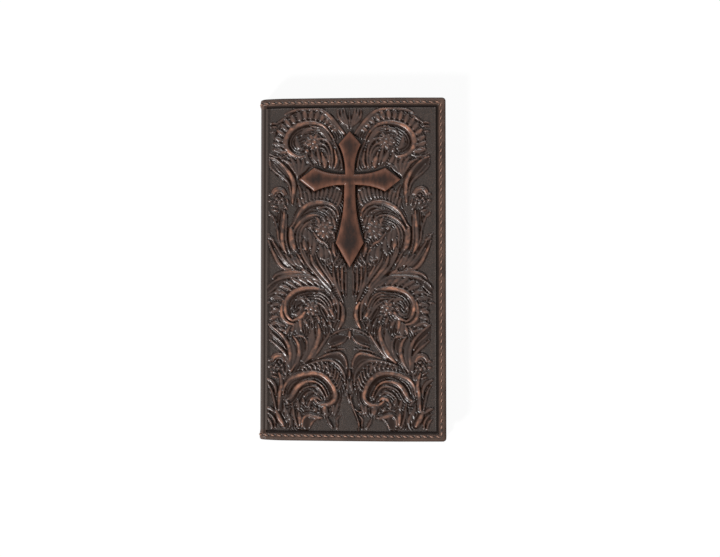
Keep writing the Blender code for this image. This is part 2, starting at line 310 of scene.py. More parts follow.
def first_scroll():
    """The scroll beside the cross's upper arm."""
    patch(-0.2, (38.8, 62), (38.9, 68), (36.6, 73.5), (33.2, 77.8), (29, 81.2), (22, 83), (15, 82.7),
          (10.5, 79.8), (6, 74), (2.9, 70), (7.2, 65.6), (4.3, 58), (3.2, 51.5), (10, 52.3), (19.5, 53.5),
          (26.4, 46.8), (29.5, 50.5), (33, 55), (37.5, 58.5))
    stroke(0.3, (0.4, 0.6, 0.3), (37.2, 76.4), (35, 77.6), (32.8, 79.6))
    petals(0.4, 15, [(33.9, 60.5), (34.3, 66), (32, 72), (27.5, 75.8), (21, 77.4), (15, 76.8), (10.8, 74.2),
                      (8.3, 70.5)],
           [(38.6, 60.5), (38.6, 67.5), (35.8, 74.4), (30.5, 79.4), (23.5, 81.9), (15.5, 81.2), (9.3, 77.2),
            (4.6, 71.5)])
    stroke(0.55, (0.3, 0.6, 0.7, 0.7, 0.7, 0.9, 0.9, 0.7, 0.4), (33.4, 80.6), (30.5, 82.2), (25, 83.3),
           (19, 83.3), (14.4, 82.4), (11, 80), (8, 76.8), (5.3, 73.3), (2.7, 70), crease=0.16)
    stroke(0.1, (0.2, 0.35, 0.35, 0.2), (13.5, 80), (9.3, 76.3), (6.4, 73), (4.2, 70.2), rise=0.2)
    patch(-0.26, (31.6, 64), (31.8, 68), (29.8, 71.6), (26, 74.2), (20, 75), (14.5, 73.6), (10.5, 69.6),
          (8.6, 65.6), (8.2, 60), (9, 54), (18.4, 54.6), (22.5, 59.8), (26, 60.2), (29.5, 61.6))
    for inset in (0.0, 1.25, 2.5):
        stroke(0.3, (0.2, 0.42, 0.42, 0.3), (20.5 - inset, 74.1 - inset), (16.3 - inset / 2, 73.6 - inset),
               (13.2, 72.2 - inset), (10.9 + inset / 2, 69.2 - inset / 2), (9.3 + inset / 2, 66.2), rise=0.26)
    stroke(1.0, (0.5, 0.6, 0.8, 1.0, 1.2, 1.15, 1.05, 1.05, 1.0, 0.8, 0.6, 0.4, 0.3), (22.2, 62),
           (22.6, 59.5), (25.3, 58.2), (28.6, 58.9), (31.4, 60.9), (33.1, 63.9), (33.2, 67.2), (31.7, 70.7),
           (28.8, 73.7), (24.8, 75.5), (20, 76.2), (15.6, 75.4), (12.5, 73.4), (10, 70.3), (8.2, 67),
           rise=0.42)
    bead(1.0, 22.4, 61.6, 1.0, rise=0.42)
    bead(0.1, 22.8, 65.6, 1.0, rise=0.4)
    bead(0.1, 17.2, 69.9, 0.85, rise=0.36)
    rosette(0.8, 18.6, 66.1, 3.8, 8, turn=0.3)
    stroke(0.2, (0.3, 0.8, 0.9, 0.3), (24.8, 69.5), (23.6, 71.8), (20.8, 72.8), (18.5, 72.3), rise=0.2)
    stroke(0.1, (0.3, 0.9, 0.9, 0.3), (27.6, 68.5), (27.3, 65.5), (26.2, 63.2), (24.2, 62.4), rise=0.16)
    stroke(0.1, (0.3, 0.8, 1.0, 0.4), (22.4, 60.2), (22.3, 57.8), (21.2, 55.8), (20.1, 54.8))
    stroke(0.2, (0.3, 1.0, 1.1, 0.4), (19.8, 61.2), (19.3, 59), (18, 57), (16.9, 55))
    stroke(0.1, (0.3, 0.8, 0.8, 0.3), (17, 62.3), (16.4, 59.5), (15.7, 56.8), (15.3, 54.6))
    stroke(0.1, (0.2, 0.4, 0.4, 0.4), (15.3, 63), (13.2, 62), (11.8, 59.4), (11.1, 56))
    stroke(0.3, (0.3, 0.5, 0.5, 0.5, 0.3), (15.6, 65.2), (13.2, 64.4), (11.2, 61.8), (10.3, 57.6),
           (10.6, 53.6))
    stroke(1.0, (0.2, 0.5, 1.1, 1.1, 0.8), (14.6, 60.4), (13.9, 58.2), (13.1, 56), (12.8, 54.4), (12.9, 53.2),
           rise=0.36)
    stroke(0.45, (0.3, 0.5, 0.6, 0.6, 0.6, 0.4), (17.6, 67.6), (14.4, 67.6), (11.9, 66.5), (10, 63.9),
           (9.1, 60), (9, 56), (9.6, 52.8), rise=0.34)
    stroke(0.9, (0.2, 0.5, 0.7, 0.6, 0.3), (7.9, 62), (7.2, 59), (6.9, 56.6), (7.3, 54.4), (8, 52.6))
    stroke(0.1, (0.3, 0.5, 0.5, 0.4), (8.2, 66.2), (6.3, 62.8), (4.9, 58.8), (4, 54), (3.7, 51.6))
    stroke(0.3, (0.2, 0.9, 1.1, 0.7, 0.2), (27, 47.5), (28.2, 51), (30.8, 54.3), (33.4, 56), (35.6, 57))
    stroke(0.1, (0.2, 0.9, 1.0, 0.6), (26.8, 48), (27.4, 51.8), (28.8, 55.2), (30.3, 57.4))
    stroke(0.1, (0.2, 0.8, 0.9, 0.6), (26.4, 48.2), (26, 52), (26.2, 55.4), (27, 57.4))
    stroke(0.1, (0.2, 0.8, 0.9, 0.5), (25.8, 48.8), (24.4, 51.8), (23.8, 54.8), (24, 57.2))
    stroke(0.0, (0.2, 0.8, 0.8, 0.3), (25, 49.4), (22.8, 52), (21.4, 54), (21, 55), rise=0.18)
    stroke(0.2, (0.3, 0.8, 0.6), (38.4, 65.8), (36.2, 64.8), (34.3, 63.9), rise=0.36)
    stroke(0.4, (0.3, 1.0, 0.7), (38.4, 61.3), (36, 61), (33.2, 60.7), rise=0.36)


def long_leaf():
    """The dished leaf left of the cross, darkened inside with painted shade, and its stem."""
    stroke(0.0, (0.5, 1.9, 2.2, 2.0, 1.5, 1.1, 0.8, 0.3), (40.7, 56.9), (38.6, 54.2), (36, 51.3),
           (33.1, 48.4), (31, 45), (30, 41), (29.6, 37), (29.5, 33.6), rise=0.1, dish=0.3, crease=0.1)
    stroke(0.1, (0.2, 0.3, 0.3, 0.2), (39.3, 54.2), (36.6, 51), (33.6, 48), (31.8, 45.8), rise=0.14)
    stroke(0.85, (0.4, 0.5, 0.6, 0.9, 1.0, 1.0, 0.8, 0.3), (41.2, 58.2), (38.4, 57.1), (35.6, 54.8),
           (32.9, 51.8), (30.6, 48.6), (29.2, 45), (28.9, 41), (29.3, 36.6), (29.5, 33.2), rise=0.4)
    stroke(0.25, (0.3, 0.4, 0.5, 0.6, 0.5, 0.2), (41.5, 57), (40.9, 53.2), (38.4, 50.4), (35, 47.8),
           (32.2, 45.4), (30.9, 42), (30.6, 38), rise=0.34)
    stroke(0.1, (0.2, 0.4, 0.4, 0.2), (41.3, 60), (38.4, 58.4), (35, 58), (31.6, 59.2))
    for up, length in ((75.9, 3.7), (74.0, 3.0), (71.2, 2.4)):
        stroke(0.1, (0.3, 0.55, 0.4), (41.1, up), (41.1 - length / 2, up + 0.15), (41.1 - length, up),
               rise=0.34)


def daisy(up):
    """The flower at the side, with arched petals over a cluster of beads."""
    stroke(0.5, (0.3, 0.5, 0.5, 0.5, 0.3), (40.7, up + 1.3), (39.6, up + 3.8), (37.2, up + 5.2),
           (34.6, up + 4.4), (32.6, up + 1.6), rise=0.3)
    stroke(0.9, (0.3, 0.6, 0.6, 0.6, 0.3), (39.8, up + 0.9), (38.8, up + 3), (36.9, up + 4),
           (34.9, up + 3.3), (33.5, up + 1.1), rise=0.36)
    stroke(0.0, (0.2, 0.45, 0.45, 0.2), (38.5, up + 1), (37, up + 2.7), (35.2, up + 2.4), (34.1, up + 0.6),
           rise=0.36)
    for across, lift, radius in ((36.4, 1.0, 0.75), (37.8, -0.7, 0.8), (35, -0.8, 0.85), (36.5, -2.4, 0.9),
                                 (34.3, -2.8, 0.75), (38.7, -2.2, 0.6)):
        bead(0.15, across, up + lift, radius, rise=0.32)
    for lift, lean in ((1.3, 0.0), (-1.9, 0.4)):
        stroke(0.1, (0.4, 0.75, 0.4), (42, up + lift), (41.1, up + lift + 0.1), (40.2, up + lift + lean),
               rise=0.32)
    stroke(0.0, (0.3, 0.65, 0.3), (40.2, up - 4.3), (38.8, up - 4.7), (37.4, up - 5.4), rise=0.36)
    stroke(0.0, (0.3, 0.6, 0.3), (39.8, up - 6.6), (38.4, up - 6.9), (36.9, up - 7.4), rise=0.34)
    stroke(0.2, (0.3, 0.6, 0.3), (32.7, up - 0.8), (32.1, up - 2.2), (31.8, up - 3.8), rise=0.28)
    stroke(0.3, (0.3, 0.7, 0.3), (34, up - 4.1), (33.2, up - 5.2), (32.4, up - 6.3), rise=0.3)


def second_scroll():
    """The scroll beside the cross's lower arm."""
    patch(-0.2, (31.6, 20.6), (30.3, 23), (28.8, 28), (27.2, 33), (26, 38.4), (22.6, 42), (16, 44.4), (9, 45),
          (3.2, 45), (3, 32), (4.9, 25), (6.8, 18.5), (10.6, 11), (9, 6), (8.3, 1), (12, -6), (17, -4),
          (21, 1), (25.6, 6.5), (28.3, 8.4), (31.3, 13))
    petals(0.2, 12, [(25.6, 31.4), (20, 35.2), (14, 36.2), (9.5, 34.8), (6.4, 31)],
           [(26.4, 36.6), (21.4, 41.2), (14.6, 43.4), (7.6, 43), (2.6, 36)], share=0.3, rise=0.2, lean=-0.06)
    stroke(0.2, (0.3, 0.7, 0.5), (26.6, 43.4), (25.2, 40.2), (24.6, 36.8), rise=0.36)
    stroke(0.1, (0.3, 0.6, 0.4), (4.6, 40.8), (6.4, 42.2), (8.6, 43.4), rise=0.34)
    stroke(0.9, (0.3, 0.4, 0.6, 0.9, 1.0, 0.95, 0.8, 0.6, 0.4), (31.3, 20.9), (29.3, 23), (27.6, 26.4),
           (25.6, 29.6), (22.8, 32.3), (19.4, 34), (15.6, 34.8), (12, 34.3), (8.8, 32.8), (6.6, 30.2),
           (5.8, 27), rise=0.4)
    stroke(0.0, (0.2, 0.5, 0.5, 0.3), (16.6, 31.3), (12.6, 32.1), (9.8, 31), (7.6, 28.6), (6.7, 25.4),
           rise=0.36)
    stroke(0.1, (0.2, 0.4, 0.3), (15.5, 30.4), (12.8, 30.2), (11.2, 29), rise=0.26)
    stroke(0.75, (0.3, 0.5, 0.65, 0.65, 0.5, 0.3), (28.8, 17.6), (28.4, 20.2), (26.9, 22.9), (24.8, 25.2),
           (22.2, 26.8), (19.3, 27.8), (16.6, 27.7), (14.2, 26.7), rise=0.36)
    stroke(0.25, (0.3, 0.45, 0.45, 0.3), (25.3, 12.5), (25.5, 17), (24.6, 20.8), (22.6, 23.4), (20, 24.6))
    stroke(0.1, (0.2, 0.4, 0.4, 0.2), (27.2, 14), (27.2, 18), (26.2, 21), (24.6, 23), rise=0.2)
    stroke(0.0, (0.4, 1.1, 1.0, 0.5), (23.2, 20.4), (22.9, 18.3), (22.5, 16.6), (22.3, 15), rise=0.08)
    rosette(0.9, 13.2, 20.3, 4.4, 9)
    bead(0.2, 20.2, 21.7, 1.05, rise=0.36)
    stroke(0.5, (0.3, 0.9, 0.4), (17.4, 26.6), (16.2, 25.1), (15.9, 23.4))
    stroke(0.1, (0.3, 0.8, 0.4), (14.9, 27), (13.4, 25.8), (12.7, 24.4))
    stroke(0.1, (0.3, 0.8, 0.4), (11.6, 27.2), (10.5, 25.4), (9.9, 23.4))
    stroke(0.1, (0.3, 0.8, 0.4), (9.2, 26.8), (8.2, 24.4), (7.6, 21.8))
    stroke(0.1, (0.3, 0.7, 0.4), (8.9, 19.4), (8.2, 17.4), (7.9, 15.6))
    stroke(0.1, (0.3, 0.9, 0.9, 0.3), (21.4, 19.6), (20.6, 17), (20.2, 14), (20.4, 11), rise=0.24)
    stroke(0.1, (0.3, 0.9, 1.0, 0.4), (18.6, 16), (18.1, 12.6), (18.4, 9.6), (19.2, 7), rise=0.2)
    stroke(0.4, (0.3, 0.5, 0.6, 0.5, 0.2), (18.6, 18.4), (16.7, 15.8), (14.9, 14.1), (12.8, 13.1),
           (10.8, 10.8), rise=0.36)
    stroke(0.1, (0.3, 1.0, 1.2, 0.7), (15.8, 12.2), (14.6, 10), (14.3, 7.4), (14.8, 5), rise=0.2)
    stroke(0.1, (0.3, 0.9, 1.0, 0.5), (12.9, 11), (12, 9), (11.7, 7), (12.2, 5), rise=0.2)
    stroke(0.7, (0.3, 0.6, 0.7, 0.3), (11, 10), (9.6, 8), (8.8, 5.2), (8.4, 2))
    stroke(0.4, (0.2, 0.5, 0.2), (14.2, 5), (12, 4.3), (10.3, 5.4))
    stroke(0.5, (0.2, 0.5, 0.2), (13.8, 2.6), (11.4, 1.7), (9.6, 3))
    stroke(1.0, (0.4, 0.95, 0.9, 0.3), (23.6, 15), (23.5, 13.2), (23.1, 11.6), (22.7, 10))
    stroke(0.2, (0.3, 0.5, 0.5, 0.3), (24.2, 10.4), (22.9, 6.8), (21.4, 4), (19.8, 1.6))
    stroke(1.0, (0.8, 1.35, 1.3, 1.3, 1.3, 0.9, 0.3), (30.4, 20.4), (30.1, 18.4), (30, 16), (29.8, 13.6),
           (29.2, 11.4), (28.3, 9.6), (27.4, 8.2), rise=0.4)
    stroke(0.5, (0.3, 0.5, 0.5, 0.3), (28, 9), (26.6, 7), (25.2, 4.8), (23.6, 2.4), rise=0.34)


def leaves_by_the_foot():
    """A lobe and two leaflets on each side of the cross's foot."""
    patch(-0.24, (7.2, 13.6), (9.4, 11), (9, 6), (8.6, 1.6), (4.4, 0.4), (1.6, -0.2), (2.4, 3.6), (4.6, 7.6))
    stroke(0.9, (0.3, 0.75, 0.85, 0.6, 0.3), (8.5, 13), (8.4, 10.8), (8.1, 8.6), (7.3, 6.4), rise=0.34)
    stroke(0.2, (0.2, 0.5, 0.5, 0.2), (5.1, 8.4), (6, 6.2), (7.2, 4.2), (8.5, 2.4), rise=0.3)
    stroke(0.1, (0.2, 0.5, 0.45, 0.2), (3.3, 5.4), (4.4, 3.6), (5.8, 2), (7.2, 0.8), rise=0.28)
    stroke(0.1, (0.2, 0.4, 0.2), (1.9, 3), (2.9, 1.6), (4.2, 0.5), rise=0.26)


def crossing_stems():
    """Long stems that run from the second scroll down to the middle, and the stem in the middle."""
    patch(-0.24, (9, 1.5), (8.4, -4), (7, -9.6), (4.6, -14.6), (5, -17.5), (8.6, -13), (13, -8), (18, -4),
          (21.6, 0.5), (16, 5), (12, 2))
    stroke(0.5, (0.3, 0.6, 0.6, 0.4), (12.9, 1.4), (11, -2), (9.4, -5.4), (7.6, -9.4), rise=0.3)
    stroke(0.0, (0.3, 0.65, 0.65, 0.5, 0.3), (16.9, 5.2), (15.4, 2.4), (13.2, -1), (11, -4.4), (8.9, -7.8),
           rise=0.36)
    stroke(0.85, (0.4, 0.9, 0.9, 0.7, 0.3), (20, 7), (19, 3.4), (16.8, 0), (14.2, -3.4), (11.6, -6.6),
           (9.6, -9.8), rise=0.36)
    stroke(0.15, (0.3, 0.5, 0.7, 0.8, 0.8, 0.7, 0.4), (25.4, 14), (25.1, 9.4), (23.4, 5.4), (20.9, 1.6),
           (18, -1.9), (15, -5.4), (12, -8.6), (9.6, -11.4), rise=0.42)
    stroke(0.4, (0.3, 0.5, 0.5, 0.3), (6, 1.2), (6, -3.4), (5.6, -7.6), (4.6, -11.6), rise=0.26)
    stroke(0.1, (0.3, 0.6, 0.8, 0.75, 0.3), (8.3, 1.6), (8.2, -3), (7.5, -7), (6, -11.4), (4.4, -15),
           (3.3, -17.6), rise=0.42)
    stroke(0.55, (0.3, 0.55, 0.6, 0.3), (3.9, 1.4), (3.9, -4), (3.8, -9), (3.1, -14), rise=0.34)
    stroke(0.2, (0.2, 0.4, 0.4, 0.2), (1.8, 0.4), (1.9, -4.5), (1.9, -9.5), (1.6, -14.5), rise=0.24)
    stroke(1.0, (0.4, 0.9, 0.95, 0.8, 0.3), (4.9, -17.4), (3.6, -20), (3.4, -24), (4.2, -28), (5.8, -31.2),
           rise=0.4)
    stroke(0.3, (0.3, 0.5, 0.4, 0.2), (0.6, -31), (4.2, -31.9), (7.6, -33.4), (10.4, -35.4), rise=0.3)
    stroke(0.1, (0.5, 1.7, 1.6, 0.4), (1.6, -35.2), (4.4, -35.8), (7.4, -36.8), (10.4, -38.8), rise=0.06,
           dish=0.2)
    stroke(0.55, (0.4, 0.5, 0.5, 0.4), (1.3, -35), (3, -37.6), (6.2, -39.3), (10, -40.4), rise=0.34)
    stroke(0.2, (0.3, 0.45, 0.4, 0.2), (2.3, -41.4), (5.6, -41.6), (9.4, -42), (13, -43.2), rise=0.26)
    stroke(0.7, (0.6, 0.9, 0.3), (0, -32.6), (0, -34.4), (0, -36.4), rise=0.36)


def side_stem():
    """The stem below the upper flower and the leaf at its foot."""
    patch(-0.22, (34.6, 31), (36.8, 29.4), (38.8, 26), (37.6, 21), (37, 16), (35.6, 11.4), (33.4, 8),
          (31.8, 8.6), (32.6, 13), (33, 20), (32.8, 27))
    stroke(0.1, (0.3, 0.45, 0.45, 0.3), (40.2, 28.4), (38.5, 24.4), (37.3, 20), (36.8, 15.6), (35.6, 12),
           (34.2, 9), rise=0.3)
    stroke(1.0, (0.4, 0.75, 0.8, 0.85, 0.7, 0.3), (33.8, 30.2), (34, 26), (34.5, 21.6), (34.9, 17),
           (34.5, 12.6), (33.7, 9.8), (32.6, 7.6), rise=0.4)
    stroke(0.1, (0.3, 0.45, 0.45, 0.3), (32.7, 28.2), (32.8, 22), (33, 16), (32.2, 11.4), (31, 8.4),
           rise=0.28)
    stroke(0.1, (0.3, 0.6, 0.3), (41.8, 29.8), (41.2, 28.4), (40.4, 27.2))
    stroke(0.0, (0.5, 1.5, 2.3, 2.3, 1.6, 0.4), (40.6, 15.2), (39.4, 11.8), (37.4, 7.8), (34.8, 4.4),
           (31.6, 1.4), (28.8, -0.5), rise=0.08, dish=0.3)
    stroke(0.1, (0.2, 0.35, 0.35, 0.2), (39, 10.4), (36.8, 6.6), (34, 3.3), (31, 0.7), rise=0.2)
    stroke(0.6, (0.3, 0.6, 0.9, 0.9, 0.5), (41.9, 14.6), (40.4, 10.4), (38.8, 7), (37.2, 3.8), (35.2, 1.2),
           (32.6, -0.1), (29.8, 0), rise=0.38)
    stroke(0.0, (0.4, 0.6, 0.7, 0.6, 0.3), (39.6, 14), (37.6, 10.6), (35.7, 7.4), (33.4, 4.4), (30.6, 1.7),
           (27.8, -0.8), rise=0.42)
    stroke(0.0, (0.7, 0.9, 0.4), (41.6, 16.4), (40.4, 15.6), (39.3, 14.8), rise=0.38)
    stroke(0.1, (0.3, 0.5, 0.3), (42.6, 18.4), (42, 17.8), (41, 17.8))
    stroke(0.0, (0.3, 0.9, 0.9, 0.4), (33.2, 7.3), (31.7, 5.3), (29.9, 3.2), (28, 1.4), rise=0.28)
    stroke(0.1, (0.3, 0.9, 0.9, 0.4), (30.6, 7.6), (29.2, 5.6), (27.4, 3), (25.8, 1), rise=0.28)
    stroke(0.1, (0.3, 0.7, 0.7, 0.3), (27.9, 6.4), (26.6, 4.2), (24.9, 1.4), (23.4, -0.8), rise=0.28)


def third_scroll():
    """The scroll below the cross."""
    patch(-0.2, (42.4, -10.2), (39.8, -5), (36, -1.8), (29, -1.2), (24.4, -0.8), (18, -4.8), (12, -8.6),
          (7.4, -13.6), (5.6, -20), (6, -27), (9.4, -33.6), (13, -33.8), (15.5, -30.5), (22, -34.8),
          (29, -35), (36, -34), (41.2, -29.4), (40, -24), (40.2, -18))
    petals(0.16, 16, [(36.3, -29), (35.9, -22), (34.2, -15.4), (30.2, -11.2), (25, -9.2), (19, -8.8),
                      (13.6, -10), (10, -14), (8.3, -20.5)],
           [(40, -29), (40.2, -21), (38.5, -12.6), (33.4, -6.8), (27, -4.8), (20, -5), (13.4, -8.2),
            (8.9, -12.8), (6.9, -20)], share=0.3, lean=-0.04)
    for offset in (0.0, 1.5, 3.0):
        stroke(0.2, (0.2, 0.45, 0.3), (36 + offset / 2, -11.4 + offset), (38.4 + offset / 2, -14 + offset),
               (42.4, -15.4 + offset * 0.8), rise=0.24)
    stroke(0.1, (0.3, 0.6, 0.3), (43.2, -17.8), (42, -17.7), (40.6, -17.4), rise=0.32)
    stroke(0.5, (0.3, 0.8, 0.9, 0.8, 0.4), (39.9, -5.2), (38, -3.1), (35, -2), (31, -1.6), (27, -1.8),
           (23.4, -2.7), (20, -3.8), rise=0.32)
    stroke(0.4, (0.3, 0.5, 0.5, 0.3), (37.4, -4.8), (33.6, -3.4), (29.4, -2.9), (25.4, -3.2), rise=0.26)
    stroke(1.0, (0.4, 0.9, 0.3), (24.4, -0.8), (22.4, -1.9), (20.2, -3.2), rise=0.34)
    stroke(0.1, (0.3, 0.5, 0.6, 0.7, 0.8, 0.8, 0.8, 0.7, 0.4), (42.7, -10.1), (40.6, -7.8), (37.6, -5.8),
           (33.8, -4.5), (29, -3.9), (24.6, -3.8), (20.8, -4.1), (17.3, -5.4), (14, -7.2), (11, -9.8),
           (8.7, -12.7), (7, -15.6), (6.1, -18.8), (5.7, -22.4), (5.9, -26.4), rise=0.42)
    patch(-0.26, (31.4, -17), (31.6, -21), (30, -25.2), (27.4, -26.6), (23, -24.6), (19.4, -28.4),
          (15, -29.6), (10, -30), (8.2, -24), (9, -18), (12, -13.2), (17.6, -11.8), (24, -12), (29, -14))
    stroke(0.5, (0.2, 0.45, 0.45, 0.3), (18.6, -12.3), (15, -12.7), (11.9, -14.8), (9.8, -18), (8.9, -22))
    stroke(0.2, (0.2, 0.4, 0.4, 0.3), (18.2, -13.7), (15.2, -14.1), (12.7, -16), (10.9, -18.8), (9.9, -22))
    stroke(0.1, (0.2, 0.4, 0.4, 0.3), (17.8, -15.2), (15.6, -15.6), (13.6, -17.2), (12, -19.6), (11, -21.6))
    stroke(0.9, (0.3, 0.8, 0.7), (10.7, -20.2), (9.5, -22.4), (8.4, -24.5), rise=0.34)
    stroke(0.0, (0.3, 0.6, 0.65, 0.6, 0.3), (16.3, -17.8), (14.2, -19), (12.4, -21.1), (10.9, -23.7),
           (9.1, -25.8), rise=0.42)
    stroke(0.0, (0.3, 0.55, 0.3), (22.6, -15.2), (21, -16.2), (19.6, -17.8), rise=0.36)
    rosette(0.7, 19.4, -20.6, 3.2, 7)
    bead(0.1, 24.7, -20.2, 0.95, rise=0.4)
    bead(0.1, 29.5, -20.3, 0.8, rise=0.32)
    stroke(0.1, (0.3, 0.9, 0.9, 0.3), (28.6, -23.6), (26.6, -23.8), (25.6, -22.8), (25.2, -21.6), rise=0.18)
    stroke(0.1, (0.3, 0.8, 0.8, 0.3), (27.6, -16.2), (25.4, -15.4), (23.4, -16.4), (22.6, -18), rise=0.2)
    for across, up in ((20.2, -25), (16.9, -24.2), (13.9, -26.2), (10.6, -27.2)):
        stroke(0.1, (0.3, 0.75, 0.3), (across, up), (across - 0.9, up - 1.6), (across - 1.4, up - 3.4),
               rise=0.34)
    stroke(1.0, (0.4, 0.9, 1.0, 1.05, 1.05, 1.0, 0.9, 0.8, 0.4), (13.6, -10.9), (17, -10.2), (21, -9.9),
           (25, -10.5), (28.6, -12), (31.2, -14.3), (32.8, -17.2), (33.1, -20.4), (32.4, -23.6),
           (31, -26), (28.8, -27.3), rise=0.42)
    stroke(0.9, (0.3, 0.7, 0.85, 0.8, 0.4), (34.1, -16.4), (35, -20.4), (34.9, -23.8), (33.5, -26.7),
           (31.2, -28.4), (28.2, -29), rise=0.4)
    stroke(0.1, (0.7, 1.5, 1.4, 0.8), (27.1, -28.6), (26.9, -30.4), (26.6, -32.2), (26.5, -34), rise=0.22)
    stroke(0.9, (0.6, 0.8, 0.6, 0.3), (25.2, -25.6), (25.3, -28), (25, -30.4), (24.5, -32.8), rise=0.36)
    stroke(1.0, (0.4, 0.8, 0.9, 0.6), (28.6, -26.8), (26.4, -26), (24.4, -24.7), (23, -22.7), rise=0.42)
    stroke(0.1, (0.3, 0.8, 0.3), (23.2, -26.8), (22.2, -28.4), (21.3, -30.2), rise=0.32)
    stroke(0.45, (0.3, 0.9, 0.4), (28.6, -29.6), (29.1, -31.4), (29.6, -33.6), rise=0.32)
    stroke(0.3, (0.3, 0.8, 0.4), (30.6, -30.2), (31.8, -31.8), (32.8, -33.8), rise=0.28)
    for up, lift in ((-20.3, 1.0), (-24.8, 0.3)):
        stroke(0.0, (0.3, 0.75, 0.3), (39.9, up), (38.2, up - lift * 0.5), (36.4, up - lift * 1.1), rise=0.4)
    stroke(0.2, (0.3, 0.9, 0.4), (39.2, -27.8), (36.4, -28.6), (33.4, -29.8), rise=0.3)
    stroke(0.2, (0.3, 0.8, 0.4), (37.6, -31.2), (35.2, -31.8), (32.8, -32.6), rise=0.3)


def fan_leaves():
    """Leaves that spread up from the fourth scroll."""
    patch(-0.24, (41.2, -29.6), (36, -33.6), (29.6, -35.4), (23, -35.2), (17.4, -31), (15, -34),
          (10.4, -34.2), (14.6, -40.4), (20, -46.8), (24, -48.8), (29.4, -53.6), (32, -54), (33.2, -46),
          (37, -41.2), (41, -37))
    stroke(0.0, (0.4, 1.5, 1.7, 1.3, 0.6), (18.9, -31.6), (19.2, -35.6), (20.2, -39.8), (22, -43.6),
           (24.6, -47.4), rise=0.22, crease=0.08)
    stroke(0.0, (0.4, 1.3, 1.4, 1.0, 0.4), (30.6, -36.6), (29.6, -40.4), (29.2, -44.4), (29.6, -48.6),
           (30.4, -52.4), rise=0.2, crease=0.06)
    stroke(0.0, (0.5, 1.8, 2.2, 1.7, 1.1, 0.5), (41, -31), (38, -34.6), (35, -38), (32.9, -41.6), (31.6, -46),
           (31.2, -51), rise=0.06, dish=0.28)
    stroke(0.0, (0.3, 0.5, 0.5, 0.3), (40.6, -33.4), (38, -35.8), (35.2, -38.4), (33, -41.6), rise=0.34)
    stroke(0.6, (0.4, 0.6, 0.7, 0.9, 0.9, 0.6, 0.3), (41.5, -29.1), (38, -31.8), (35, -34.6), (32.6, -37.8),
           (31.2, -41), (30.8, -45), (31, -49), (30.7, -53), rise=0.42)
    stroke(0.2, (0.4, 0.7, 0.8, 0.7, 0.3), (41, -37.2), (38, -39.7), (35, -42.2), (33, -45), (32.1, -48.6),
           (31.5, -52.8), rise=0.4)
    stroke(0.4, (0.3, 0.6, 0.6, 0.3), (28.2, -35.4), (26, -34.9), (23.6, -35.3), (22.4, -36.6), rise=0.32)
    stroke(0.1, (0.3, 0.6, 0.5, 0.2), (23, -35.6), (21.9, -38), (21.9, -41), (22.6, -44.4), rise=0.34)
    stroke(0.1, (0.5, 1.2, 1.0, 0.4), (24.9, -36.8), (24.6, -39.4), (24.6, -42), (25.2, -45), rise=0.12,
           dish=0.1)
    stroke(0.8, (0.3, 0.6, 0.8, 0.9, 0.8, 0.5, 0.3), (29, -35.2), (27, -37.8), (26.1, -41), (26.2, -44.6),
           (27.3, -48.2), (29, -51.2), (30.4, -53.6), rise=0.38)
    stroke(0.5, (0.3, 0.7, 0.7, 0.4), (10.2, -33.4), (11.8, -36.2), (14, -39.4), (16.6, -43), (19.4, -46.2),
           rise=0.32)
    stroke(1.0, (0.4, 0.8, 0.9, 1.05, 1.1, 0.9, 0.4), (16.3, -29), (15.5, -32), (15.7, -35.4), (16.9, -39),
           (18.9, -42.8), (21, -46), (23.6, -48.6), rise=0.42)


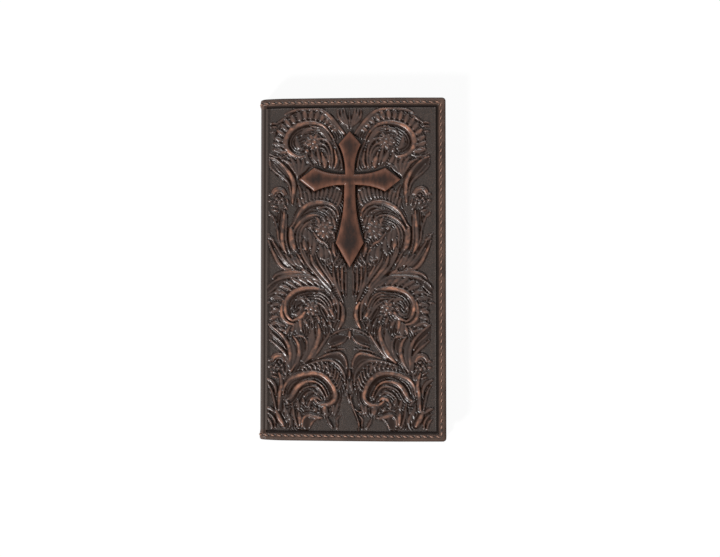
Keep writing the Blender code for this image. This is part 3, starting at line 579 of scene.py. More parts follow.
def fourth_scroll():
    """The scroll at the foot of the cover."""
    patch(-0.2, (30.4, -53.8), (24, -49.4), (17, -46.8), (11, -44.6), (5.4, -43.2), (2.6, -45.4),
          (1.3, -50), (1.6, -56), (2.6, -62), (4.4, -68), (6.4, -75), (9.5, -76.2), (14.5, -77.4),
          (18.8, -79.4), (20.6, -83), (26, -83), (34.4, -82.4), (38, -77), (36.9, -68), (35.9, -60),
          (34.6, -55.6))
    stroke(0.0, (0.4, 1.2, 1.3, 1.0, 0.4), (14.6, -46.4), (10.6, -45.7), (7, -45.6), (4.2, -47.4),
           (2.7, -50.4), rise=0.05, dish=0.16)
    stroke(0.65, (0.3, 0.6, 0.7, 0.6, 0.4), (16.4, -46.4), (12.6, -45), (8.6, -43.9), (5.2, -43.7),
           (3.1, -45.2), (1.8, -47.9), (1.4, -51), rise=0.36)
    petals(0.16, 12, [(25, -53.4), (19.6, -52.4), (14, -52.9), (10.2, -56), (8.2, -60.4), (7, -65.4)],
           [(24.6, -50.2), (19, -48.9), (12.6, -48.4), (7.4, -51.2), (4.4, -56.4), (3.6, -63.4)],
           share=0.19, rise=0.4, lean=-0.11)
    stroke(0.1, (0.3, 0.5, 0.55, 0.55, 0.3), (24.6, -50.4), (19.6, -48.7), (14.4, -47.5), (9.8, -47.5),
           (6.6, -49), (4.1, -51.8), (2.6, -55.4), (2.4, -59.6), rise=0.34)
    stroke(0.2, (0.3, 0.5, 0.3), (13.6, -49.2), (11.2, -51.6), (10, -55), rise=0.28)
    patch(-0.28, (26, -57.4), (20, -55.8), (15, -56.2), (11.6, -58.8), (9.6, -63.4), (9.4, -67), (12, -68.6),
          (16, -70.6), (17, -75.4), (22, -74.6), (25.4, -80.6), (27.6, -79.6), (29.6, -71), (33.6, -68),
          (31, -63.6))
    stroke(0.2, (0.3, 0.45, 0.45, 0.3), (25.4, -63.8), (23.2, -61.9), (19.6, -60.8), (16.2, -61.4),
           (14.1, -64), (12.6, -67), rise=0.28)
    stroke(0.2, (0.3, 0.45, 0.4, 0.3), (23.4, -66.4), (21.4, -64.4), (18.4, -63.7), (15.8, -65.2), rise=0.26)
    stroke(1.0, (0.5, 1.0, 1.15, 0.95, 0.7, 0.5, 0.4, 0.4, 0.3), (32.2, -67.9), (30.1, -66.6), (28.6, -64),
           (26.8, -61.3), (24.2, -59.3), (21, -58.2), (17.6, -58.4), (14.8, -60), (12.9, -62.6),
           (11.6, -65.8), rise=0.42)
    stroke(1.0, (0.3, 0.6, 0.8, 1.0, 1.05, 1.05, 1.0, 0.95, 0.9, 0.8, 0.4), (34.1, -65.4), (33.2, -60.8),
           (30.4, -57), (25.6, -54.9), (21.4, -53.9), (18, -53.7), (14.5, -54.6), (11.7, -56.6), (9.4, -59.5),
           (7.8, -62.8), (7.3, -66), (8.9, -68.9), (12.1, -70.3), (16.1, -69.4), (18.4, -67), rise=0.42)
    stroke(0.9, (0.3, 0.75, 0.7, 0.3), (20.7, -69.2), (19, -67.3), (16.6, -66.8), (14.8, -68.2), rise=0.36)
    stroke(0.1, (0.4, 0.8, 0.4), (20.3, -68.8), (20.9, -70.4), (20.8, -72), rise=0.34)
    stroke(0.1, (0.3, 0.7, 0.4), (24.1, -67), (23.6, -68.6), (23.2, -70.2), rise=0.34)
    stroke(0.1, (0.3, 0.8, 0.4), (26.8, -67.8), (26.3, -70), (26, -72.6), rise=0.24)
    bead(0.4, 17.6, -72.6, 1.1, rise=0.34)
    stroke(0.7, (0.8, 1.2, 0.9), (12.9, -71.6), (12.7, -73.0), (12.3, -74.6), rise=0.3)
    stroke(0.1, (0.6, 1.0, 0.6), (8.4, -71.2), (8.3, -72.8), (8.6, -74.4), rise=0.34)
    stroke(0.2, (0.4, 0.8, 0.3), (6.2, -70.4), (6.9, -72.6), (7.6, -75.2), rise=0.26)
    stroke(0.0, (0.3, 0.7, 0.4), (33.6, -67.8), (32.3, -68.9), (31.2, -70.2), rise=0.4)
    for across, up in ((33.9, -71), (32.6, -73), (31.4, -75.4)):
        stroke(0.1, (0.3, 0.6, 0.5, 0.2), (across, up), (across - 0.8, up - 2), (across - 1.0, up - 4.4),
               (across - 0.6, up - 6.4), rise=0.28)
    stroke(0.1, (0.3, 0.6, 0.6, 0.4), (29.3, -69.4), (28.9, -73), (28.2, -77), (26.6, -81.6), rise=0.42)
    stroke(0.9, (0.5, 1.0, 0.8, 0.3), (25.9, -74.6), (25.6, -76.6), (25.4, -78.8), (25.5, -81.2), rise=0.36)
    stroke(0.0, (0.6, 1.9, 2.0, 1.2), (21.4, -76.4), (21.5, -78.2), (21.8, -80), (22, -81.8), rise=0.04,
           dish=0.16)
    stroke(0.8, (0.3, 0.5, 0.6, 0.9, 0.9, 0.3), (24.2, -81.6), (23.8, -77.8), (21.6, -75.7), (18.9, -76.2),
           (16.6, -76.8), (14, -77), rise=0.36)
    stroke(0.5, (0.3, 0.5, 0.3), (16.9, -77.4), (19, -79.2), (20.4, -82.2), rise=0.32)
    stroke(0.0, (0.3, 0.75, 0.4), (11.4, -77.2), (10.4, -79.6), (8.8, -82.2), rise=0.4)
    stroke(0.3, (0.2, 0.5, 0.5, 0.3), (4.6, -75.4), (6.6, -77.6), (6.4, -80), (6.6, -82.6), rise=0.28)
    stroke(0.1, (0.3, 0.5, 0.3), (1.7, -63.6), (0.9, -66.6), (0.0, -69.4), rise=0.3)
    stroke(0.5, (0.5, 0.8, 0.4), (0, -52.4), (0, -54.4), (0, -56.6), rise=0.34)
    stroke(0.3, (0.4, 0.8, 0.5), (1.2, -57.6), (0.9, -59.8), (1.4, -62.4), rise=0.3)


def foot_leaves():
    """The stem below the lower flower and the leaves at the corner."""
    stroke(0.1, (0.3, 0.4, 0.4, 0.3), (33.2, -45.6), (32.6, -50), (32.5, -54.4), (33.2, -57.6), rise=0.26)
    stroke(0.0, (0.5, 0.95, 0.9, 0.6, 0.3), (42.5, -57.4), (40.6, -58.2), (38.8, -60), (37.8, -62.8),
           (37.7, -66.4), rise=0.4)
    stroke(0.3, (0.3, 0.6, 0.6, 0.4), (42.1, -59.8), (40.3, -63), (39.1, -67.4), (38.1, -73), rise=0.34)
    stroke(0.0, (0.4, 0.9, 0.8, 0.4), (42.7, -72), (40.6, -72.8), (38.5, -74.6), rise=0.4)
    stroke(0.0, (0.3, 0.6, 0.5, 0.3), (42.4, -74.6), (40.2, -76.2), (38.6, -79), (38.3, -82.4), rise=0.34)
    stroke(0.0, (0.3, 0.6, 0.5, 0.3), (42.4, -77.2), (40.8, -79.4), (39.8, -82.8), rise=0.34)
    stroke(0.2, (0.4, 0.8, 0.3), (34.9, -55), (34.2, -56.2), (33.5, -57.4), rise=0.34)
    stroke(1.0, (0.4, 0.8, 0.85, 0.85, 0.7, 0.5), (36.4, -53.8), (35.3, -57), (35, -60.6), (35.8, -64.6),
           (36.2, -69), (36.6, -73.4), rise=0.42)
    stroke(1.0, (0.5, 1.05, 1.0, 0.5), (37.9, -73.6), (36.8, -76.6), (35.3, -79.2), (34.1, -81.4), rise=0.42)


def back_stalk():
    """A stalk with a flower and leaves, which fills the cross's place on the back cover."""
    stroke(0.4, (0.3, 0.6, 0.7, 0.7, 0.5), (0, 3), (0, 14), (0, 26), (0, 36), (0, 42), rise=0.36)
    for root, reach in ((6.0, 5.0), (13.0, 6.4), (20.5, 5.4), (28.0, 3.2)):
        stroke(0.6, (0.2, 0.8, 1.0, 0.7, 0.2), (0.7, root), (0.35 * reach, root + 3.4),
               (0.7 * reach, root + 6.0), (reach, root + 7.4), rise=0.36)
        stroke(0.1, (0.2, 0.5, 0.5, 0.2), (0.9, root + 3), (0.3 * reach, root + 6.2),
               (0.42 * reach, root + 9.2), rise=0.28)
    stroke(0.5, (0.3, 1.1, 1.0, 0.3), (5.4, 47.2), (11, 48.2), (17, 48.4), (24.6, 47), rise=0.36, crease=0.12)
    stroke(0.1, (0.3, 0.8, 0.8, 0.2), (5, 45), (10, 43), (15.6, 42.6), (21, 44.2), rise=0.3)
    stroke(0.1, (0.3, 0.8, 0.8, 0.2), (5, 49.4), (10, 51.8), (15.6, 52.4), (21, 50.6), rise=0.3)
    stroke(0.2, (0.2, 0.6, 0.6, 0.2), (3.4, 43), (4.6, 40.4), (4.6, 37.6), (3.6, 35), rise=0.3)
    stroke(0.6, (0.4, 1.3, 1.1, 0.3), (0, 53.4), (0, 58), (0, 63), (0, 68.4), rise=0.36, crease=0.12)
    stroke(0.1, (0.3, 0.8, 0.8, 0.2), (2.2, 52.6), (4.2, 56.6), (4.6, 61), (3.4, 65.6), rise=0.3)
    rosette(1.0, 0, 47.2, 5.4, 8, turn=0.39)


def drawn_fields():
    """The tooling drawn so far, as the fields that a panel reads."""
    return {"relief": blurred(relief, FINE_BLUR), "low": blurred(relief, BROAD_BLUR),
            "burnish": burnish.copy(), "figure": figure.copy(), "band": band_distance.copy(),
            "dish": dish_painted_shade.copy(), "added_painted_shade": np.zeros(relief.shape), "lone": []}


def press_cross(fields):
    """A line round the cross on the tooling: a shallow pressed cut, darkened with painted shadow."""
    path = cross_outline()[::2] + (0, CROSS_Y / MM)
    place = window(path, 3 * SHADED_LINE_WIDTH)
    distance, _ = nearest(path, ACROSS[place], UP[place])
    fields["added_painted_shade"][place] = np.exp(-(distance / SHADED_LINE_WIDTH) ** 2)


def blurred(field, times):
    """A field smoothed by its neighbours above and below, then by those beside, so many times over."""
    for _ in range(2 * times):
        edge = np.pad(field, ((1, 1), (0, 0)), "edge")
        field = ((edge[:-2] + edge[1:-1] + edge[2:]) / 3).T
    return field


def eased(share):
    """A share from 0 to 1 that starts and ends gently."""
    return share * share * (3 - 2 * share)


def between(field, row, column, easing=None):
    """A field's values between its grid points. Beyond its ends the field starts again."""
    below = np.floor(row).astype(int)
    left = np.floor(column).astype(int)
    s = row - below
    t = column - left
    if easing:
        s = easing(s)
        t = easing(t)
    rows, columns = field.shape
    above = (below + 1) % rows
    right = (left + 1) % columns
    below = below % rows
    left = left % columns
    low = field[below, left] * (1 - t) + field[below, right] * t
    high = field[above, left] * (1 - t) + field[above, right] * t
    return low * (1 - s) + high * s


def lumps(across, up, size, seed):
    """Smooth random values from 0 to 1 with hills about as wide as size."""
    values = np.random.default_rng(seed).random((LUMP_TILE, LUMP_TILE))
    return between(values, up / size + LUMP_TILE / 2, across / size + LUMP_TILE / 4, eased)


def sampled(field, across, up):
    """The pattern's field at any places, between its grid points."""
    column = np.clip(across / CELL, 0, field.shape[1] - 2)
    row = np.clip((up + HALF_RISE) / CELL, 0, field.shape[0] - 2)
    return between(field, row, column)


# Outline of the cross, in millimetres from its centre

FLARE_POWER = 2.4
TIP_HALF_WIDTH = 0.02
NARROW = 1.8
EDGE_STEPS = (0.0, 0.07, 0.18, 0.5, 0.95)
INNER_SHARES = (0.66, 0.33, 0.0)
ARM_ROWS = 34
TIP_ROWS = 16

# Half the width of each arm at its root and at its flare, and how far out its flare and its tip lie
ARMS = {"upper": (2.3, 5.7, 18.3, 25.0), "right": (2.7, 6.1, 18.3, 26.1), "lower": (2.8, 7.2, 32.8, 45.5),
        "left": (2.7, 6.1, 18.3, 26.1)}
CROSSING = {"upper": 2.7, "right": 2.55, "lower": 2.7, "left": 2.55}
WAYS = {"upper": (0, 1), "right": (1, 0), "lower": (0, -1), "left": (-1, 0)}


def arm_half_width(arm, distance):
    """Half the width of an arm at a distance from the cross's centre."""
    root, flare, flare_at, tip_at = ARMS[arm]
    if distance <= flare_at:
        share = (distance - CROSSING[arm]) / (flare_at - CROSSING[arm])
        return root + (flare - root) * share ** FLARE_POWER
    return max(flare * (tip_at - distance) / (tip_at - flare_at), TIP_HALF_WIDTH)


def arm_columns(half_width):
    """Places across an arm, close together near its edges."""
    squeeze = min(1.0, half_width / NARROW)
    sides = [half_width - step * squeeze for step in EDGE_STEPS]
    half = sides + [sides[-1] * share for share in INNER_SHARES]
    return np.array(half + [-value for value in half[-2::-1]])


def arm_rows(arm):
    """Rows of points along an arm, from the crossing to its tip."""
    _, _, flare_at, tip_at = ARMS[arm]
    way_x, way_y = WAYS[arm]
    widening = np.linspace(CROSSING[arm], flare_at, ARM_ROWS)
    narrowing = np.linspace(flare_at, tip_at, TIP_ROWS)[1:]
    rows = []
    for out in [*widening, *narrowing]:
        across = arm_columns(arm_half_width(arm, out))
        rows.append([(side * way_y + out * way_x, out * way_y - side * way_x) for side in across])
    return rows


def cross_outline():
    """The points round the cross."""
    outline = []
    for arm in ARMS:
        rows = arm_rows(arm)
        outline += [row[-1] for row in rows] + [row[0] for row in reversed(rows)]
    return np.array(outline + outline[:1])


# Shapes shared by the pieces

def folded(run, up, lift, face):
    """Places on the shell in the model's frame. Face is 1 on the front half and -1 on the back half."""
    run = np.asarray(run, float)
    angle = np.clip((run - FLAT_RUN) / FOLD_RADIUS, 0, math.pi / 2)
    radius = FOLD_RADIUS + lift
    down = np.clip(run - FLAT_RUN - FOLD_RUN, 0, None)
    x = np.where(run < FLAT_RUN, FORE_EDGE - run, FOLD_X - radius * np.sin(angle))
    z = np.where(run < FLAT_RUN, TOP + lift, TOP - FOLD_RADIUS + radius * np.cos(angle) - down)
    if face < 0:
        z = TOP - z
    return settled(np.stack([x, up + 0 * x, z], -1))


def settled(places):
    """Draws the ends in a little towards the spine, as the bent leather does."""
    places = np.array(places, float)
    x = places[..., 0]
    slope = (SIDE_DIP_START - x) / (SIDE_DIP_START - SPINE_DIP_START)
    slope = np.clip(slope, 0, SIDE_DIP_MOST) ** SIDE_DIP_POWER
    droop = np.clip((SPINE_DIP_START - x) / (SPINE_DIP_START - SPINE_FACE), 0, SPINE_DIP_MOST) ** 2
    places[..., 1] *= 1 - (slope * SIDE_DIP + droop * SPINE_DIP) / HALF_LENGTH
    return places


def grid_rim(number):
    """The numbers of the points round a grid of points."""
    return np.concatenate([number[0, :], number[1:, -1], number[-1, -2::-1], number[-2:0:-1, 0]])


def sheet_faces(rows, columns):
    """The faces of a sheet: one grid of points, the same grid on its other side, and the walls between."""
    count = rows * columns
    number = np.arange(count).reshape(rows, columns)
    quads = np.stack([number[:-1, :-1], number[:-1, 1:], number[1:, 1:], number[1:, :-1]], -1).reshape(-1, 4)
    rim = grid_rim(number)
    following = np.roll(rim, -1)
    walls = np.stack([rim, following, following + count, rim + count], -1)
    return np.concatenate([quads, quads[:, ::-1] + count, walls]).tolist()


def new_object(name, data):
    """A new object in the scene."""
    obj = bpy.data.objects.new(name, data)
    bpy.context.scene.collection.objects.link(obj)
    return obj


def shade(mesh, sharp_degrees=SHARP_DEGREES):
    """Smooth shading, but for edges that are sharper than an angle."""
    mesh.shade_smooth()
    mesh.set_sharp_from_angle(angle=math.radians(sharp_degrees))


def add_mesh(name, points, faces, sharp_degrees=SHARP_DEGREES):
    """A new smooth-shaded object from points and faces, with its faces turned outwards."""
    mesh = bpy.data.meshes.new(name)
    mesh.from_pydata([tuple(p) for p in points], [], [tuple(int(i) for i in f) for f in faces])
    bm = bmesh.new()
    bm.from_mesh(mesh)
    bmesh.ops.recalc_face_normals(bm, faces=bm.faces)
    if bm.calc_volume(signed=True) < 0:
        bmesh.ops.reverse_faces(bm, faces=bm.faces)
    bm.to_mesh(mesh)
    bm.free()
    shade(mesh, sharp_degrees)
    return new_object(name, mesh)


def add_values(obj, name, values):
    """A number on each point of a mesh, for its material."""
    stored = obj.data.attributes.new(name, "FLOAT", "POINT")
    stored.data.foreach_set("value", np.asarray(values, np.float32).ravel())


def finish_piece(obj, material, slot, *nodes):
    """Gives a piece its material and hides the CAD nodes that it stands for. The slot is not used."""
    obj.data.materials.append(material)
    if nodes:
        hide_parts(*nodes)
    return obj


# Materials. Radii and depths of the needle holes are millimetres, and ripples are to the metre.

HOLE_RADIUS = 0.55
HOLE_BRIM = 0.85
HOLE_DEPTH = 2.2
CLOTH_RIPPLES = 15000
TWIST_RIPPLES = 11000


def srgb(red, green, blue):
    """A colour given as 0 to 255 per channel, as the shader's linear values."""
    linear = []
    for channel in (red, green, blue):
        share = channel / 255
        linear.append(share / 12.92 if share <= 0.04045 else ((share + 0.055) / 1.055) ** 2.4)
    return (*linear, 1.0)


def add_node(tree, kind, inputs=None, **settings):
    """A shader node: an input is another node's output or a plain value."""
    node = tree.nodes.new(kind)
    for key, value in settings.items():
        setattr(node, key, value)
    for socket, value in (inputs or {}).items():
        if isinstance(value, bpy.types.NodeSocket):
            tree.links.new(value, node.inputs[socket])
        else:
            node.inputs[socket].default_value = value
    return node


def sums(tree, operation, first, second=0.0, third=0.0, clamp=False):
    """A Math node's result."""
    inputs = {0: first, 1: second, 2: third}
    return add_node(tree, "ShaderNodeMath", inputs, operation=operation, use_clamp=clamp).outputs[0]


def mixed(tree, factor, first, second):
    """A colour between two colours."""
    inputs = {0: factor, 6: first, 7: second}
    return add_node(tree, "ShaderNodeMix", inputs, data_type="RGBA").outputs[2]


def ranged(tree, value, low, high, new_low=0.0, new_high=1.0):
    """A value moved from one range to another, and kept inside it."""
    inputs = {"Value": value, "From Min": low, "From Max": high, "To Min": new_low, "To Max": new_high}
    return add_node(tree, "ShaderNodeMapRange", inputs).outputs[0]


def noise(tree, place, scale, detail=3.0, roughness=0.55):
    """Noise with its scale in cells to the metre."""
    inputs = {"Vector": place, "Scale": scale, "Detail": detail, "Roughness": roughness}
    return add_node(tree, "ShaderNodeTexNoise", inputs).outputs[0]


def attribute(tree, name):
    """A number that is stored on the mesh."""
    return add_node(tree, "ShaderNodeAttribute", attribute_name=name).outputs["Fac"]


def cells(tree, place, scale):
    """Rounded cells, so many to the metre: 0 in the middle of each."""
    return add_node(tree, "ShaderNodeTexVoronoi", {"Vector": place, "Scale": scale}).outputs["Distance"]


def between_values(tree, factor, first, second):
    """A value between two values."""
    return add_node(tree, "ShaderNodeMix", {0: factor, 2: first, 3: second}).outputs[0]


def ripples(tree, value, per_metre):
    """A sine wave along a value."""
    return sums(tree, "SINE", sums(tree, "MULTIPLY", value, per_metre))


def new_material(name, **constants):
    """A material, its node tree, its Principled shader and its place coordinates."""
    material = bpy.data.materials.new(name)
    material.use_nodes = True
    tree = material.node_tree
    shader = tree.nodes["Principled BSDF"]
    for socket, value in constants.items():
        shader.inputs[socket.replace("_", " ")].default_value = value
    place = add_node(tree, "ShaderNodeTexCoord").outputs["Object"]
    return material, tree, shader, place


def feed(tree, shader, **sources):
    """Links values to inputs of the shader, which are named with underlines for their spaces."""
    for socket, source in sources.items():
        tree.links.new(source, shader.inputs[socket.replace("_", " ")])


def bumped(tree, shader, height, strength, distance):
    """Sets the shader's normal from a height."""
    inputs = {"Height": height, "Strength": strength, "Distance": distance}
    feed(tree, shader, Normal=add_node(tree, "ShaderNodeBump", inputs).outputs[0])


def make_tooled_leather():
    """Tooled leather: copper-brown where rubbed on the ridges, painted shade that makes the cuts nearly
    black, pebbled on the ground.
    """
    material, tree, shader, place = new_material("tooled_leather_finish")
    tone = attribute(tree, "burnish")
    painted_shade = attribute(tree, "painted_shade")
    ground = attribute(tree, "ground")
    blotches = noise(tree, place, 160)
    streaks = noise(tree, place, 700, detail=4)
    pebbles = cells(tree, place, 2100)
    brown = mixed(tree, ranged(tree, blotches, 0.35, 0.65), srgb(34, 22, 17), srgb(54, 38, 31))
    dabs = ranged(tree, noise(tree, place, 420, detail=5, roughness=0.7), 0.36, 0.64)
    matted = mixed(tree, dabs, srgb(47, 34, 28), srgb(72, 56, 48))
    matted = mixed(tree, ranged(tree, blotches, 0.36, 0.6, 0.45, 1), srgb(30, 21, 17), matted)
    matted = mixed(tree, ranged(tree, pebbles, 0.1, 0.6), matted, srgb(34, 27, 23))
    body = mixed(tree, ground, brown, matted)
    spots = ranged(tree, noise(tree, place, 260, detail=4), 0.42, 0.64, 0.12, 1.1)
    areas = ranged(tree, noise(tree, place, 85), 0.4, 0.6, 0.5, 1.2)
    streaked = ranged(tree, streaks, 0.3, 0.7, 0.5, 1.1)
    worn = sums(tree, "MULTIPLY", sums(tree, "MULTIPLY", tone, spots), areas)
    worn = sums(tree, "MULTIPLY", worn, streaked, clamp=True)
    rubbed = mixed(tree, worn, body, srgb(146, 100, 78))
    # Painted shade makes the cuts and recesses nearly black and lowers their specular level.
    depth = sums(tree, "MULTIPLY", painted_shade, ranged(tree, streaks, 0.2, 0.8, 1.1, 0.8), clamp=True)
    colour = mixed(tree, depth, rubbed, srgb(24, 13, 8))
    rough = between_values(tree, ground, ranged(tree, streaks, 0.25, 0.75, 0.26, 0.38), 0.52)
    shine = between_values(tree, ground, ranged(tree, painted_shade, 0, 1, 0.44, 0.06), 0.27)
    feed(tree, shader, Base_Color=colour, Roughness=rough, Specular_IOR_Level=shine)
    fine = sums(tree, "MULTIPLY", streaks, 0.15)
    grain = sums(tree, "MULTIPLY_ADD", pebbles, ranged(tree, ground, 0, 1, 0.08, 0.9), fine)
    bumped(tree, shader, grain, 0.5, 0.25 * MM)
    return material


def from_needle_hole(tree):
    """Distance in millimetres from the middle of the nearest needle hole of the seam."""
    turns = sums(tree, "DIVIDE", attribute(tree, "along"), STITCH_PITCH / MM)
    turns = sums(tree, "FRACT", sums(tree, "ADD", turns, 0.5))
    reach = sums(tree, "MULTIPLY", sums(tree, "SUBTRACT", turns, 0.5), STITCH_PITCH / MM)
    reach = sums(tree, "MULTIPLY", reach, reach)
    off_line = sums(tree, "SUBTRACT", attribute(tree, "inset"), SEAM_INSET / MM)
    return sums(tree, "SQRT", sums(tree, "MULTIPLY_ADD", off_line, off_line, reach))


def make_band_leather():
    """The smooth leather of the band and spine, with needle holes along the seam, and painted shade in the
    holes, the groove, the rim and the crease.
    """
    material, tree, shader, place = new_material("band_leather_finish")
    painted_shade = attribute(tree, "painted_shade")
    hole = ranged(tree, from_needle_hole(tree), HOLE_RADIUS, HOLE_BRIM, 1, 0)
    blotches = noise(tree, place, 140)
    streaks = noise(tree, place, 900, detail=4)
    brown = mixed(tree, ranged(tree, blotches, 0.35, 0.65), srgb(46, 34, 28), srgb(72, 54, 45))
    brown = mixed(tree, attribute(tree, "plain"), brown, srgb(57, 48, 43))
    worn = sums(tree, "MULTIPLY", attribute(tree, "rubbed"), ranged(tree, streaks, 0.3, 0.7, 0.4, 1))
    rubbed = mixed(tree, worn, brown, srgb(106, 74, 58))
    # Painted shade from the shell's groove, outer rim and crease.
    with_painted_shade = mixed(tree, painted_shade, rubbed, srgb(20, 14, 12))
    # Near-black painted shade in each needle hole.
    colour = mixed(tree, hole, with_painted_shade, srgb(9, 6, 5))
    rough = ranged(tree, streaks, 0.25, 0.75, 0.34, 0.5)
    shine = ranged(tree, painted_shade, 0, 0.8, 0.24, 0.07)
    feed(tree, shader, Base_Color=colour, Roughness=rough, Specular_IOR_Level=shine)
    grain = sums(tree, "MULTIPLY_ADD", cells(tree, place, 2600), 0.35, sums(tree, "MULTIPLY", streaks, 0.3))
    pierced = sums(tree, "SUBTRACT", grain, sums(tree, "MULTIPLY", hole, HOLE_DEPTH))
    bumped(tree, shader, pierced, 0.45, 0.25 * MM)
    return material


def make_cross_leather():
    """Smooth leather, rubbed copper along its edges."""
    material, tree, shader, place = new_material("cross_leather_finish", Specular_IOR_Level=0.16)
    drawn_out = add_node(tree, "ShaderNodeMapping", {"Vector": place, "Scale": (2.2, 1.0, 1.0)}).outputs[0]
    blotches = noise(tree, drawn_out, 190, detail=5)
    streaks = noise(tree, place, 900, detail=4)
    brown = mixed(tree, ranged(tree, blotches, 0.34, 0.68), srgb(38, 25, 20), srgb(74, 47, 36))
    broad = sums(tree, "MULTIPLY", attribute(tree, "broad"), ranged(tree, streaks, 0.25, 0.75, 0.6, 1.0))
    brown = mixed(tree, broad, brown, srgb(25, 19, 17))
    rim = attribute(tree, "rubbed")
    edge = sums(tree, "MULTIPLY", rim, ranged(tree, blotches, 0.2, 0.8, 0.35, 1.3))
    colour = mixed(tree, sums(tree, "MINIMUM", edge, 1.0), brown, srgb(106, 70, 55))
    gloss = ranged(tree, streaks, 0.25, 0.75, 0.36, 0.5)
    rough = sums(tree, "MULTIPLY", gloss, ranged(tree, rim, 0.5, 0.9, 1.0, 0.5))
    feed(tree, shader, Base_Color=colour, Roughness=rough)
    grain = sums(tree, "MULTIPLY_ADD", cells(tree, place, 2400), 0.4, streaks)
    bumped(tree, shader, grain, 0.2, 0.15 * MM)
    return material


def make_inner_leather():
    """Fine-grained dark brown leather of the inner panels and pockets, with painted shade in the creases by
    the pocket mouths.
    """
    material, tree, shader, place = new_material("inner_leather_finish", Specular_IOR_Level=0.24)
    blotches = noise(tree, place, 60)
    streaks = noise(tree, place, 1100, detail=4)
    clouds = sums(tree, "MULTIPLY_ADD", streaks, 0.5, sums(tree, "MULTIPLY", blotches, 0.5))
    brown = mixed(tree, ranged(tree, clouds, 0.35, 0.65), srgb(60, 43, 35), srgb(76, 56, 46))
    waxed = mixed(tree, attribute(tree, "rubbed"), brown, srgb(38, 27, 22))
    # Painted shade in the crease below each pocket mouth.
    colour = mixed(tree, attribute(tree, "painted_shade"), waxed, srgb(24, 16, 13))
    feed(tree, shader, Base_Color=colour, Roughness=ranged(tree, streaks, 0.25, 0.75, 0.46, 0.6))
    grain = sums(tree, "MULTIPLY_ADD", cells(tree, place, 1500), 0.6, streaks)
    bumped(tree, shader, grain, 0.4, 0.2 * MM)
    return material


def make_lining_cloth():
    """A fine woven cloth."""
    material, tree, shader, place = new_material("lining_cloth_finish", Roughness=0.85, Sheen_Weight=0.06,
                                               Specular_IOR_Level=0.15)
    spread = add_node(tree, "ShaderNodeSeparateXYZ", {"Vector": place}).outputs
    weft = ripples(tree, spread["X"], CLOTH_RIPPLES)
    warp = ripples(tree, spread["Y"], CLOTH_RIPPLES)
    weave = sums(tree, "MULTIPLY", weft, warp)
    mottled = sums(tree, "MULTIPLY_ADD", weave, 0.2, noise(tree, place, 200))
    colour = mixed(tree, ranged(tree, mottled, 0.25, 0.75), srgb(34, 27, 24), srgb(56, 46, 41))
    feed(tree, shader, Base_Color=colour)
    bumped(tree, shader, weave, 0.35, 0.1 * MM)
    return material


def make_thread():
    """Waxed copper-brown thread with its twist."""
    material, tree, shader, place = new_material("thread_finish", Roughness=0.5, Sheen_Weight=0.1)
    spread = add_node(tree, "ShaderNodeSeparateXYZ", {"Vector": place}).outputs
    twist = ripples(tree, sums(tree, "ADD", spread["X"], spread["Y"]), TWIST_RIPPLES)
    fibres = sums(tree, "MULTIPLY_ADD", twist, 0.2, noise(tree, place, 2500))
    colour = mixed(tree, ranged(tree, fibres, 0.25, 0.8), srgb(88, 61, 49), srgb(156, 116, 95))
    feed(tree, shader, Base_Color=colour)
    bumped(tree, shader, twist, 0.4, 0.12 * MM)
    return material


def make_clear_vinyl():
    """Clear glossy vinyl with faint handling marks."""
    material, tree, shader, place = new_material("clear_vinyl_finish", Transmission_Weight=1.0, IOR=1.45)
    marks = noise(tree, place, 350, detail=6)
    tint = mixed(tree, ranged(tree, marks, 0.3, 0.8), srgb(244, 246, 246), srgb(232, 236, 236))
    feed(tree, shader, Base_Color=tint, Roughness=ranged(tree, marks, 0.4, 0.8, 0.04, 0.16))
    bumped(tree, shader, marks, 0.05, 0.1 * MM)
    return material


# The tooled panels

PANEL_LEFT = FOLD_X
PANEL_RIGHT = FORE_EDGE - PANEL_INSET
PANEL_TOP = HALF_LENGTH - PANEL_INSET
EDGE_ROLL = 0.4 * MM
EDGE_DROP = 0.3
EDGE_SHADE = 0.5
FLUSH_WIDTH = 1.6 * MM
BACK_SCALE = 0.68
BACK_DROP = 0.35 * MM
FRONT_CELLS = (224, 432)
BACK_CELLS = (160, 308)
FRONT_SEED = SEED + 20
BACK_SEED = SEED + 10
LONE_RISE = 0.46
LONE_CUT = 0.1
LONE_TONE = 0.36
PANEL_SHARP_DEGREES = 85
WANDER = 0.45
WANDER_SIZES = (9.0, 11.0)
ROUGH_SIZES = (1.1, 0.6)
ROUGH_SEED = SEED + 3
ROUGH_SHARE = 0.6
ROUGH_MEAN = 0.8
GROUND_PEBBLE = 0.03
FILL_LUMPS = 0.06
ECHO_PITCH = 1.3
ECHO_HEIGHT = 0.17
ECHO_WANDER = 0.5
GROUND_SHARPNESS = 2.2
FILL_SHARPNESS = 3
SHADED_DEPTH = 0.17
GROUND_LIGHT = 0.6
FILL_SHADE = 0.35
PRESSED_SHADE = 0.95
DEPTH_SCALE = 1.95
DEEPEST = -1.15


def lone_stem(fields):
    """The thin forked stem near the foot, on the right side alone."""
    fields["lone"] = [
        (smooth_path([(1.1, -69), (2.3, -72), (4.1, -73.5), (6.4, -74)]), 0.32),
        (smooth_path([(0.4, -65.4), (0.8, -68.4), (1.9, -72.2), (3.4, -75.8), (4.5, -79), (4.9, -81.4),
                      (4.6, -83.2)]), 0.42),
    ]


